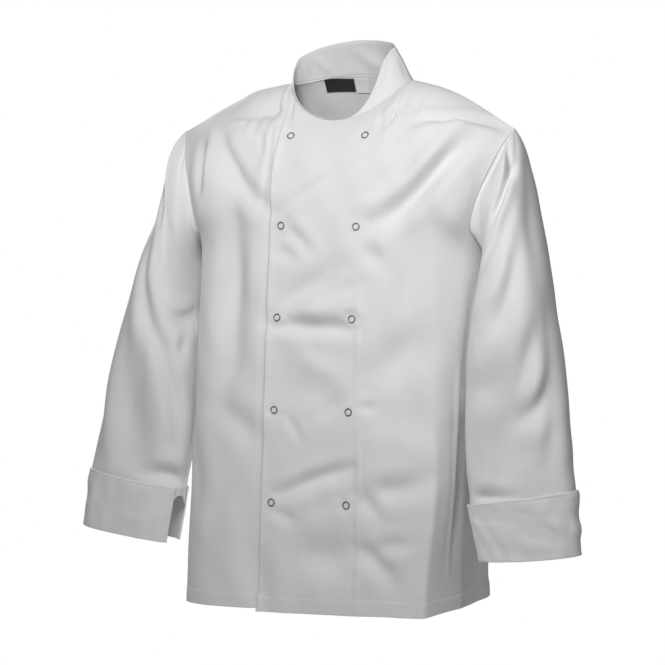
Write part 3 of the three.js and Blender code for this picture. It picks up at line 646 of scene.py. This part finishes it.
def snapSpots():  # name, column, rise and side of each snap
    spots = []
    for row in range(snaps["rows"]):
        z = snaps["first"] - row * snaps["pitch"]
        for side, name in ((-1, "outer"), (1, "inner")):
            column = snaps["offset"] / bodyPoint(1.0, min(z, jacket["chestLevel"]), False)[3]
            for _ in range(4):
                point, _ = torsoCloth(column, riseAt(z, column), False, side)
                column *= snaps["offset"] / abs(point[0] - driftAt(z))
            point, u = torsoCloth(column, riseAt(z, column), False, side)
            spots.append({"name": f"snap_{name}_{row + 1}", "column": column, "rise": riseAt(z, column),
                          "side": side, "u": float(u), "z": float(point[2])})
    return spots


snapList = snapSpots()


def snapWork(u, z):  # 0 on the flat under a snap to 1 away from all of them, and the puckers that run out of it
    calm, pucker = np.ones_like(u), np.zeros_like(u)
    for number, spot in enumerate(snapList):
        away = np.hypot(u - spot["u"], z - spot["z"])
        turn = np.arctan2(z - spot["z"], u - spot["u"])
        calm *= smooth((away - snaps["flat"]) / snaps["flatFade"])
        ray = np.sin(turn * 5 + number * 1.7) + 0.7 * np.sin(turn * 3 + number * 2.9)
        ray = snaps["pucker"] * ray * smooth((away - snaps["flat"]) / 4)
        pucker += ray * np.exp(-(away / snaps["puckerWide"]) ** 2)
    return calm, pucker


def clothOut(u, z, isBack, fade):  # how far creases and waves move the cloth outwards
    depth = fronts["creases"] * creaseDepth(backCreases if isBack else frontCreases, u, z, fronts["spread"])
    depth = depth + fronts["rumple"] * rumple(u, z, fronts["rumpleSize"], 5 if isBack else 11)
    if isBack:
        return -depth * fade
    calm, pucker = snapWork(u, z)
    return -(depth * calm + pucker) * fade


def seamPucker(along, away, seed):  # short gathers beside a line of stitching
    draw = np.random.RandomState(seed)
    starts = draw.uniform(0, 6.28, 4)
    wave = sum(np.sin(along / pitch + start) for pitch, start in zip((2.6, 3.4, 4.9, 7.7), starts)) / 2.6
    return fronts["pucker"] * wave * np.exp(-(away / fronts["puckerWide"]) ** 2)


# the wearer's left side is pressed flat above the hem, with a corner to the front
corner = {"from": 0.43, "at": 0.69, "x": 184, "y": -128, "out": 22, "top": -370, "fade": 260, "round": 0.022}


def sideCorner(point, column, rise, side):
    start, end = (torsoCloth(np.full_like(column, share), rise, False, side)[0] for share in (corner["from"], 1.0))
    z = point[..., 2]
    turn = stack(corner["x"] + corner["out"] * smooth((z - jacket["hemLevel"]) / 320), corner["y"], 0)
    turn[..., 2] = mix(start[..., 2], end[..., 2], (corner["at"] - corner["from"]) / (1 - corner["from"]))
    folded = 0
    for shift in (-1, -0.5, 0, 0.5, 1):
        c = column + shift * corner["round"]
        before = np.clip((c - corner["from"]) / (corner["at"] - corner["from"]), 0, 1)[..., None]
        after = np.clip((c - corner["at"]) / (1 - corner["at"]), 0, 1)[..., None]
        folded = folded + mix(mix(start, turn, before), end, after) / 5
    share = smooth((corner["top"] - z) / corner["fade"]) * smooth((column - corner["from"]) / 0.12)
    share = share * smooth((1 - column) / 0.04) * (side > 0)
    return mix(point, folded, share[..., None])


def softened(point, column, z):  # takes the hard turn out of the chest line
    rows = 14
    reach = np.arange(-rows, rows + 1)
    weights = np.exp(-(reach / 7.0) ** 2)
    padded = np.pad(point, ((rows, rows), (0, 0), (0, 0)), mode="edge")
    even = sum(w * padded[rows + r:rows + r + len(point)] for r, w in zip(reach, weights)) / weights.sum()
    share = np.exp(-((z - jacket["chestLevel"]) / 45) ** 2) * smooth((1 - column) / 0.06)
    return mix(point, even, share[..., None])


def lapEdge(rise):  # the lap's free edge comes in a little on the upper chest
    return 1 - fronts["lapTurn"] * np.exp(-((rise - 1.62) / 0.24) ** 2)


def torsoPanel(columns, rises, mirror, isBack, lifts, drop, freeStart):
    # columns are signed shares of the way to the side seam; lifts is how far each column stands off
    column, rise = np.meshgrid(columns, rises)
    side = np.where(column >= 0, 1, -1) * mirror
    column = np.abs(column) * np.where((column < 0) & freeStart, lapEdge(rise), 1)
    point, u = torsoCloth(column, rise, isBack, side)
    if not isBack:
        point = sideCorner(point, column, rise, side)
    point = softened(point, column, point[..., 2])
    z = point[..., 2].copy()
    out = torsoOut(point)
    fade = smooth((1 - column) / 0.07) * smooth((2 - rise) / 0.12)
    push = clothOut(u, z, isBack, fade)
    lowLength = jacket["chestLevel"] - jacket["hemLevel"]
    fromHem = np.clip(rise, 0, 1) * lowLength + np.clip(rise - 1, 0, 1) * fronts["upperLength"]
    hemStep = fronts["hemStep"] * (1 - smooth((fromHem - 20) / 2))
    push += hemStep - fronts["hemGroove"] * np.exp(-((fromHem - fronts["hem"]) / 0.8) ** 2)
    push += seamPucker(u, fromHem - fronts["hem"], 21 + isBack) * smooth((1 - column) / 0.03)
    fromSide = (1 - column) * chestShare
    fromEdge = [fromHem, fromSide, np.where(rise >= 2, 0.12, 9)]  # the top edge is a little rounded
    if freeStart:
        fromLap = np.meshgrid((columns - columns[0]) * chestShare, rises)[0]
        fromEdge.append(fromLap)
        if mirror > 0:
            beside = u - mix(facing["top"], facing["foot"], np.clip((facing["from"] - z) / facing["length"], 0, 1))
            low = smooth((facing["start"] - z) / facing["fade"])
            groove = facing["groove"] * np.exp(-(beside / facing["wide"]) ** 2)
            push += facing["pucker"] * seamPucker(z, beside, 33) * low - groove * low
            push += fronts["lapLift"] * np.exp(-(fromLap / fronts["lapLiftWide"]) ** 2) * smooth((2 - rise) / 0.1)
        else:
            outside = -u - jacket["lapColumn"] * chestShare * lapEdge(rise)
            groove = fronts["lapGroove"] * np.exp(-((outside - 2) / fronts["lapGrooveWide"]) ** 2)
            push -= groove * smooth((2 - rise) / 0.2)
        groove = np.exp(-((fromLap - fronts["lapStitch"]) / 0.9) ** 2)
        step = fronts["lapStep"] * (1 - smooth((fromLap - fronts["lapStitch"]) / 2))
        push += step - fronts["stitchGroove"] * groove
        push -= fronts["lapRoll"] * np.exp(-(fromLap / fronts["lapRollWide"]) ** 2) * smooth((2 - rise) / 0.1)
        push += seamPucker(z, fromLap - fronts["lapStitch"], 31) * smooth((2 - rise) / 0.1)
    inset = np.zeros_like(point)
    half = jacket["seamGap"] / 2
    backward = 1 if isBack else -1
    inset[..., 1] += backward * half * ((column >= 1) & (rise <= 1))
    inset[..., 0] -= side * half * ((column >= 1) & (rise > 1))
    inset[..., 1] += backward * half * ((rise >= 2) & (column > jacket["neckShare"]))
    point = point + inset
    point[..., 2] -= drop * (1 - smooth(rise / 0.1)) * (1 - smooth((column - 0.45) / 0.5))
    lift = np.broadcast_to(lifts, column.shape) + push - jacket["clothWall"] / 2
    thick = jacket["clothWall"] / 2 * edgeRound(*fromEdge)
    face = point + out * (lift + thick)[..., None]
    rear = point + out * (lift - thick)[..., None]
    return face, rear


def bodyRises():
    low = spaced(jacket["chestLevel"] - jacket["hemLevel"], hemPlaces, (0, 3.7), fronts["pitch"])
    high = 1 + np.linspace(0, 1, fronts["rows"] + 1)[1:]
    return np.concatenate([low / (jacket["chestLevel"] - jacket["hemLevel"]), high])


def hemStitchRow(rises):
    return np.interp(fronts["hem"] / (jacket["chestLevel"] - jacket["hemLevel"]), rises, np.arange(len(rises)))


def buildFronts(cloth, thread):
    rises = bodyRises()
    reach = jacket["lapColumn"] * chestShare
    across = spaced(reach + chestShare, edgePlaces, seamPlaces, fronts["pitch"])
    columns = (across - reach) / chestShare
    off = jacket["clothWall"] + jacket["layerGap"]
    full = jacket["lapColumn"] + 0.03
    lifts = off * np.where(columns < 0, 1, 1 - smooth((np.abs(columns) - full) / 0.2))
    hemRow = hemStitchRow(rises)
    stitchColumn = np.interp(fronts["lapStitch"], across, np.arange(len(across)))
    sides = (("front_left", 1, lifts, jacket["lapHemDrop"]), ("front_right", -1, 0 * lifts, 0))
    for name, mirror, lift, drop in sides:
        face, rear = torsoPanel(columns, rises, mirror, False, lift, drop, True)
        if mirror < 0:
            face, rear = face[:, ::-1], rear[:, ::-1]
        panel = clothMesh("cloth_" + name, face, rear, cloth)
        normals = normalsOf(face)
        stitch = stitchColumn if mirror > 0 else len(across) - 1 - stitchColumn
        seams = [gridLine(face, normals, hemRow, np.arange(3, len(across) - 2)),
                 gridLine(face, normals, np.arange(hemRow, len(rises) - 1.5), stitch)]
        sewn = sewLines("stitching_" + name, seams, thread)
        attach(panel, "root")
        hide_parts(name)


def buildBack(cloth, thread):
    rises = bodyRises()
    half = bodyPoint(0.0, jacket["chestLevel"], True)[3] - bodyPoint(1.0, jacket["chestLevel"], True)[3]
    across = spaced(2 * half, seamPlaces, seamPlaces, fronts["pitch"])
    columns = (across - half) / half
    face, rear = torsoPanel(columns, rises, 1, True, 0, 0, False)
    panel = clothMesh("cloth_back", rear, face, cloth)
    normals = normalsOf(face, -1)
    hemRow = hemStitchRow(rises)
    sewn = sewLines("stitching_back", [gridLine(face, normals, hemRow, np.arange(2, len(across) - 2))], thread)
    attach(panel, "root")
    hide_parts("back")


# Sleeves and turned-back cuffs
sleeves = {"end": 9.62, "rows": 172, "spread": 1.1, "creases": 2.1, "rumple": 0.6, "rumpleSize": 34, "seam": 0.7}
cuffs = {
    "top": 9, "fold": 11, "deep": 86, "wall": 2.6, "stitch": 4.6, "creases": 1.9, "rumple": 0.9, "rumpleSize": 30,
    "frontEnd": 156, "backEnd": -178, "across": 96, "turnSize": 1.1,  # the slit's edges, and millimetres a degree
    "frontLean": 9, "backIn": 14, "backLean": 18,  # how the slit opens on the wearer's right
    "tilt": 0.13, "slant": 17, "inset": 4,  # how the cuff sits askew on the wearer's left
}


def sleeveCloth(row, turn, side):
    point, radial = sleevePoint(row, turn, side)
    u, v = row * rowTurn, turn % 360
    depth = sum(creaseDepth(sleeveCreases[side], u, v - whole, sleeves["spread"]) for whole in (0, 360))
    depth = sleeves["creases"] * depth
    wave = sleeves["rumple"] * rumple(u, 60 * np.cos(np.radians(v)), sleeves["rumpleSize"], 40 + side)
    fade = smooth(row / 0.5) * smooth((cuffs["top"] + 0.1 - row) / 0.25)
    seam = sleeves["seam"] * np.exp(-((v - 180) / 0.9) ** 2) * smooth(row / 0.3)
    return point, radial, -(depth + wave) * fade - seam


def buildSleeves(cloth, thread):
    even = np.linspace(0.08, sleeves["end"] - 0.02, sleeves["rows"])
    down = np.concatenate([[0, 0.005, 0.015, 0.04], even, [sleeves["end"]]])
    turns = np.concatenate([np.linspace(0, 176, 52), [178.4, 179.2, 180, 180.8, 181.6], np.linspace(184, 356.6, 52)])
    for side, name in ((1, "left"), (-1, "right")):
        row, turn = np.meshgrid(down, turns, indexing="ij")
        slit = 1 - 0.5 * np.exp(-((turn - 169) / 15) ** 4)  # the end is cut back behind the cuff's slit
        row = np.where(row > cuffs["top"], cuffs["top"] + (row - cuffs["top"]) * slit, row)
        point, radial, push = sleeveCloth(row, turn, side)
        thick = jacket["clothWall"] / 2 * edgeRound(row * 70, (sleeves["end"] - row) * 50)
        push = push - jacket["clothWall"] / 2
        face, rear = point + radial * (push + thick)[..., None], point + radial * (push - thick)[..., None]
        walls = (face, rear) if side > 0 else (rear, face)
        sleeve = clothMesh("cloth_sleeve_" + name, *walls, cloth, isRing=True)
        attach(sleeve, "root")
        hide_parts("sleeve_" + name)
        buildCuff(side, name, cloth, thread)


def buildCuff(side, name, cloth, thread):
    deep = cuffs["deep"]
    down = spaced(deep, (0, 0.3, 0.9, 2, 3.4, 4.2, 4.6, 5, 5.8, 7.5), (0, 0.3, 0.9, 2), 3)
    rim = np.array([0, 0.1, 0.3, 0.8, 1.5, 2.3, 3.1, 3.6, 4.2])
    even = np.linspace(cuffs["backEnd"] + 6.5, cuffs["frontEnd"] - 6.5, cuffs["across"])
    turns = np.concatenate([cuffs["backEnd"] + rim, even, (cuffs["frontEnd"] - rim)[::-1]])
    row, turn = np.meshgrid(cuffs["top"] + down / deep * (cuffs["fold"] - cuffs["top"]), turns, indexing="ij")
    fromTop = np.meshgrid(down, turns, indexing="ij")[0]
    starts = cuffs["backEnd"] + (cuffs["backIn"] + cuffs["backLean"] * fromTop / deep if side < 0 else 0)
    ends = cuffs["frontEnd"] - (cuffs["frontLean"] * fromTop / deep if side < 0 else 0)
    turn = mix(starts, ends, (turn - cuffs["backEnd"]) / (cuffs["frontEnd"] - cuffs["backEnd"]))
    inward = (1 - np.cos(np.radians(turn))) / 2  # 0 at the sleeve's outer side, 1 beside the body
    if side > 0:
        row = row + cuffs["tilt"] * (inward * 2 - 1) * (1 - 0.5 * fromTop / deep)
    point, radial = sleevePoint(row, turn, side)
    if side > 0:
        point[..., 0] += inward * (cuffs["slant"] * fromTop / deep - cuffs["inset"])
    u, v = row * rowTurn, np.where(turn > 180, turn - 360, turn)
    fromStart, fromEnd = (turn - starts) * cuffs["turnSize"], (ends - turn) * cuffs["turnSize"]
    depth = cuffs["creases"] * creaseDepth(cuffCreases[side], u, v)
    depth = depth + cuffs["rumple"] * rumple(u, 75 * np.cos(np.radians(v)), cuffs["rumpleSize"], 60 + side)
    depth *= smooth(np.minimum(fromTop, np.minimum(fromStart, fromEnd)) / 9 + 0.35)
    seams = [np.exp(-((d - cuffs["stitch"]) / 0.7) ** 2) for d in (fromTop, fromStart, fromEnd)]
    push = -depth - 0.4 * np.maximum.reduce(seams)
    push += seamPucker(v * 1.2, fromTop - cuffs["stitch"], 51 + side) + seamPucker(v * 1.2, (deep - fromTop), 54 + side)
    lift = jacket["layerGap"] + cuffs["wall"] / 2 + np.maximum(push, -0.9)
    thick = cuffs["wall"] / 2 * edgeRound(fromTop * 0.7, (deep - fromTop) * 0.7, fromStart * 0.7, fromEnd * 0.7)
    face, rear = point + radial * (lift + thick)[..., None], point + radial * (lift - thick)[..., None]
    walls = (face, rear) if side > 0 else (rear, face)
    cuff = clothMesh("cloth_cuff_" + name, *walls, cloth)
    normals = normalsOf(face, side)
    count = len(turns)
    topRow = np.interp(cuffs["stitch"], down, np.arange(len(down)))
    inFrom = np.interp(cuffs["backEnd"] + cuffs["stitch"] / cuffs["turnSize"], turns, np.arange(count))
    inTo = np.interp(cuffs["frontEnd"] - cuffs["stitch"] / cuffs["turnSize"], turns, np.arange(count))
    lines = [gridLine(face, normals, topRow, np.arange(inFrom, inTo)),
             gridLine(face, normals, np.arange(topRow, len(down) - 2), inFrom),
             gridLine(face, normals, np.arange(topRow, len(down) - 2), inTo)]
    sewn = sewLines("stitching_cuff_" + name, lines, thread)
    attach(cuff, "root")
    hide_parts("cuff_" + name)


# Stand collar
collar = {
    "wall": 2.0, "height": 47, "ends": 1.5, "start": 11.25, "full": 66, "tip": (-6, -14), "across": 190,
    "leanBack": 6, "leanFront": 38, "open": 0.65, "stitch": 5, "rumple": 0.35, "rumpleSize": 40, "turnSize": 1.25,
}
collarCreases = named(creaseColumns, [
    (60, 8, 88, 40, 6, 1.3, 3, 0.3), (100, 4, 112, 30, 5, 0.9, 0, 0), (150, 10, 178, 36, 9, 1.4, 0, 0),
    (205, 12, 232, 38, 8, 1.5, -3, 0.2), (268, 6, 290, 34, 6, 1.4, 0, 0.3), (300, 8, 306, 30, 5, 0.8, 0, 0),
    (120, 30, 240, 24, 12, -0.8, 0, 0),
])
# its height on the wearer's right, where it falls open and tapers early, by the angle from the centre front
collarRight = named("angle height", [
    (0, 1.5), (40, 2), (60, 5), (75, 13), (90, 22), (105, 33), (120, 38), (145, 44), (180, 48.5),
])


def buildCollar(cloth, thread):
    foot = (jacket["neckBack"] - jacket["neckFront"]) / 2
    ends = np.array([0, 0.15, 0.5, 1.3, 2.4, 3.4])
    even = np.linspace(collar["start"] + 5, 355 - collar["start"], collar["across"])
    angles = np.concatenate([collar["start"] + ends, even, (360 - collar["start"] - ends)[::-1]])
    levels = np.concatenate([[0, 0.01, 0.03, 0.08], np.linspace(0.14, 0.8, 14),
                             [0.84, 0.87, 0.893, 0.916, 0.94, 0.965, 0.985, 0.995, 1]])
    level, angle = np.meshgrid(levels, angles, indexing="ij")
    turn = np.radians(angle)
    fromFront = np.minimum(angle, 360 - angle)
    isOpen = angle > 180
    rise = smooth((fromFront - collar["start"]) / (collar["full"] - collar["start"]))
    fallen = tableAt(collarRight, "angle", fromFront.ravel())["height"].reshape(angle.shape)
    height = np.where(isOpen, fallen, collar["ends"] + collar["height"] * rise)
    lean = np.radians(mix(collar["leanBack"], collar["leanFront"], np.clip((1 + np.cos(turn)) / 2, 0, 1) ** 0.8))
    lean = lean * np.where(isOpen, 1 - collar["open"] * smooth((180 - fromFront) / 60), 1)
    out = unit(stack(np.sin(turn) / jacket["neckHalfWidth"], -np.cos(turn) / foot, 0))
    upward = stack(0, 0, np.cos(lean)) - out * np.sin(lean)[..., None]
    base = necklinePoint(angle) + np.array([0, 0, jacket["seamGap"]]) + upward * (height * level)[..., None]
    base = base + np.array([*collar["tip"], 0]) * (height * level / collar["height"])[..., None]
    tip = np.minimum(lean, lean * level * 2)
    thickWay = out * np.cos(tip)[..., None] + stack(0, 0, np.sin(tip))
    around, high = angle * collar["turnSize"], height * level
    calm = smooth(level / 0.25) * smooth(height / 20)
    waves = collar["rumple"] * rumple(around, high, collar["rumpleSize"], 71)
    push = -(creaseDepth(collarCreases, around, high) + waves) * calm
    fromTop = height * (1 - level)
    grooves = np.exp(-((fromTop - collar["stitch"]) / 0.8) ** 2) * smooth((height - 9) / 8)
    push = push - 0.3 * grooves + 0.5 * seamPucker(around, fromTop - collar["stitch"], 72)
    thick = collar["wall"] / 2 * edgeRound(fromTop * 0.8, high * 0.9, (fromFront - collar["start"]) * 1.2)
    centre = push - collar["wall"] / 2
    face, rear = base + thickWay * (centre + thick)[..., None], base + thickWay * (centre - thick)[..., None]
    piece = clothMesh("cloth_collar", face, rear, cloth)
    normals = normalsOf(face)
    inside = [i for i in range(len(angles)) if height[0, i] > 12]
    levelOf = [np.interp(1 - collar["stitch"] / height[0, i], levels, np.arange(len(levels))) for i in inside]
    sewn = sewLines("stitching_collar", [gridLine(face, normals, np.array(levelOf), np.array(inside, float))], thread)
    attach(piece, "root")
    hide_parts("collar")


# Labels inside the back neck
labels = [
    {"name": "neck_label", "from": -44, "to": -12.6, "top": 9, "drop": 17.5, "slot": "tape_black", "curl": 1.0},
    {"name": "size_label", "from": -11.6, "to": 1, "top": 9, "drop": 20, "slot": "tape_white", "curl": 0.8},
]


tape = {"half": 0.32, "off": 0.8}  # half its thickness, and how far it hangs off the back


def buildLabels(materials):
    for label in labels:
        x = spaced(label["to"] - label["from"], (0, 0.2, 0.6, 1.4), (0, 0.2, 0.6, 1.4), 1.6) + label["from"]
        level = np.concatenate([[0, 0.01, 0.03], np.linspace(0.07, 0.93, 14), [0.97, 0.99, 1]])
        level, x = np.meshgrid(level, x, indexing="ij")
        z = label["top"] - label["drop"] * level
        column = np.abs(x) / jacket["neckHalfWidth"] * jacket["neckShare"]
        up = np.clip((z - jacket["chestLevel"]) / (topEdge(column, True)[..., 2] - jacket["chestLevel"]), 0, 1)
        point, _ = torsoCloth(column, 1 + np.arcsin(up) * 2 / math.pi, True, np.where(x < 0, -1, 1))
        out = torsoOut(point)
        fromSide = np.minimum(x - label["from"], label["to"] - x)
        curl = label["curl"] * smooth(level * 1.2 - 0.2) ** 2 + 0.25 * np.sin(x * 0.35) * level
        centre = -jacket["clothWall"] - jacket["layerGap"] - tape["off"] - curl
        thick = tape["half"] * edgeRound(fromSide * 2, level * label["drop"] * 2, (1 - level) * label["drop"] * 2)
        outer, inner = point + out * (centre + thick)[..., None], point + out * (centre - thick)[..., None]
        piece = clothMesh("tape_" + label["name"], outer, inner, materials[label["slot"]])
        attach(piece, "root")
        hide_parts(label["name"])


# Open ring snaps: one is modelled round the origin, facing +Z, and copied flat onto the lap
ringShape = [  # radius and height of each edge, from the inner rim over the crown to the outer foot
    (3.9, 0.0), (3.9, 0.75), (4.05, 1.05), (4.35, 1.28), (4.75, 1.4),
    (5.1, 1.34), (5.4, 1.1), (5.56, 0.7), (5.6, 0.25), (5.45, 0.0),
]


def modelRing(steel):
    bpy.ops.object.select_all(action="DESELECT")
    firstRadius = ringShape[0][0]
    bpy.ops.mesh.primitive_circle_add(vertices=48, radius=firstRadius * mm, location=(0, 0, 0))
    ring = bpy.context.object
    bpy.ops.object.mode_set(mode="EDIT")
    bpy.ops.mesh.select_all(action="SELECT")
    for (radius, height), (nextRadius, nextHeight) in zip(ringShape, ringShape[1:] + ringShape[:1]):
        bpy.ops.mesh.extrude_edges_move(TRANSFORM_OT_translate={"value": (0, 0, (nextHeight - height) * mm)})
        scale = nextRadius / radius
        bpy.ops.transform.resize(value=(scale, scale, 1), center_override=(0, 0, 0))
    bpy.ops.mesh.select_all(action="SELECT")
    bpy.ops.mesh.remove_doubles(threshold=0.00001)
    bpy.ops.mesh.normals_make_consistent(inside=False)
    bpy.ops.object.mode_set(mode="OBJECT")
    bpy.ops.object.shade_smooth_by_angle(angle=math.radians(40))
    ring.data.materials.append(steel)
    return ring


def placeSnaps(steel):
    ring = modelRing(steel)
    lift = jacket["clothWall"] + jacket["layerGap"]
    for spot in snapList:
        nudge = snaps["nudge"]
        at = [torsoCloth(spot["column"] + a, spot["rise"] + b, False, spot["side"])[0]
              for a, b in ((0, 0), (nudge, 0), (-nudge, 0), (0, nudge), (0, -nudge))]
        normal = unit(np.cross((at[1] - at[2]) * spot["side"], at[3] - at[4]))
        place = at[0] + torsoOut(at[0]) * lift + normal * snaps["seat"]
        piece = ring.copy()
        piece.data = ring.data.copy()
        piece.name = piece.data.name = "ring_" + spot["name"]
        bpy.context.scene.collection.objects.link(piece)
        turn = Vector((0, 0, 1)).rotation_difference(Vector(normal)).to_matrix().to_4x4()
        piece.data.transform(Matrix.Translation(Vector(place * mm)) @ turn)
        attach(piece, "root")
        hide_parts(spot["name"])
    bpy.data.objects.remove(ring)


# Camera at the photograph's angle: aimed at a point of the jacket, and turned a little in its own plane
shot = {"azimuth": 24, "tilt": 1.1, "roll": 1.8, "lens": 97, "away": 2.6, "aim": (0, 0, -0.365), "aside": -0.0189}


def placeCamera():
    azimuth, tilt, roll = (math.radians(shot[key]) for key in ("azimuth", "tilt", "roll"))
    ahead = Vector((-math.sin(azimuth) * math.cos(tilt), math.cos(azimuth) * math.cos(tilt), -math.sin(tilt)))
    right = Vector((math.cos(azimuth), math.sin(azimuth), 0))
    up = right.cross(ahead)
    place = Vector(shot["aim"]) + right * shot["aside"] - ahead * shot["away"]
    across = right * math.cos(roll) + up * math.sin(roll)
    upward = up * math.cos(roll) - right * math.sin(roll)
    data = bpy.data.cameras.new("camera")
    data.lens, data.sensor_width = shot["lens"], 36
    camera = bpy.data.objects.new("camera", data)
    bpy.context.scene.collection.objects.link(camera)
    axes = Matrix((across, upward, -ahead)).transposed().to_4x4()
    camera.matrix_world = Matrix.Translation(place) @ axes
    bpy.context.scene.camera = camera


# Soft studio light, a pale floor and a white surround
lamps = [
    {"name": "key", "from": (0.24, -1.12, 0.4), "at": (0.02, 0, -0.26),
     "size": 0.5, "power": 12.4, "colour": (1, 0.995, 0.985)},
    {"name": "side", "from": (2.2, -0.4, 0.15), "at": (0.3, 0, -0.35),
     "size": 1.1, "power": 3.5, "colour": (0.98, 0.99, 1)},
    {"name": "back", "from": (-1.75, 1.55, 0.75), "at": (0, 0, -0.3),
     "size": 0.8, "power": 40, "colour": (0.99, 0.99, 1)},
]
surround = {"seen": 1.0, "light": 0.11, "floorLevel": -1.35, "floorSize": 2.0}


def lightStudio():
    for lamp in lamps:
        data = bpy.data.lights.new(lamp["name"], "AREA")
        data.shape, data.size, data.energy, data.color = "DISK", lamp["size"], lamp["power"], lamp["colour"]
        light = bpy.data.objects.new(lamp["name"], data)
        bpy.context.scene.collection.objects.link(light)
        light.location = lamp["from"]
        light.rotation_euler = (Vector(lamp["at"]) - Vector(lamp["from"])).to_track_quat("-Z", "Y").to_euler()
    world = bpy.data.worlds.new("studio")
    world.use_nodes = True
    tree = world.node_tree
    tree.nodes.clear()
    seen, light = tree.nodes.new("ShaderNodeBackground"), tree.nodes.new("ShaderNodeBackground")
    seen.inputs["Color"].default_value = (1, 1, 1, 1)
    seen.inputs["Strength"].default_value = surround["seen"]
    light.inputs["Color"].default_value = (0.99, 0.99, 1, 1)
    light.inputs["Strength"].default_value = surround["light"]
    path, blend = tree.nodes.new("ShaderNodeLightPath"), tree.nodes.new("ShaderNodeMixShader")
    tree.links.new(path.outputs["Is Camera Ray"], blend.inputs["Fac"])
    tree.links.new(light.outputs["Background"], blend.inputs[1])
    tree.links.new(seen.outputs["Background"], blend.inputs[2])
    tree.links.new(blend.outputs["Shader"], tree.nodes.new("ShaderNodeOutputWorld").inputs["Surface"])
    bpy.context.scene.world = world
    bpy.context.scene.view_settings.view_transform = "Standard"


def layFloor():
    bpy.ops.object.select_all(action="DESELECT")
    bpy.ops.mesh.primitive_circle_add(vertices=128, radius=surround["floorSize"], fill_type="NGON",
                                      location=(0, 0, 0))
    floor = bpy.context.object
    floor.name = "floor"
    floor.data.transform(Matrix.Translation((0, 0, surround["floorLevel"])))
    s = Shader("pale_floor")
    place = s.node("TexCoord", {}, {}, "Object")
    cloudy = s.node("TexNoise", {}, {"Vector": place, "Scale": 1.5, "Detail": 2.0})
    colour = s.node("ValToRGB", {"stops": [(0.3, (0.9, 0.9, 0.9)), (0.7, (0.93, 0.93, 0.93))]}, {"Fac": cloudy})
    floor.data.materials.append(s.finish(s.node("BsdfPrincipled", {}, {"Base Color": colour, "Roughness": 0.8})))


def buildJacket():
    cloth, thread = clothMaterial("white_cotton", clothLook), threadMaterial()
    print("fronts")
    buildFronts(cloth, thread)
    print("back")
    buildBack(cloth, thread)
    print("sleeves and cuffs")
    buildSleeves(cloth, thread)
    print("collar")
    buildCollar(cloth, thread)
    print("labels")
    buildLabels({name: tapeMaterial(name, look) for name, look in tapeLooks.items()})
    print("snaps")
    placeSnaps(steelMaterial())


placeCamera()
lightStudio()
layFloor()
buildJacket()
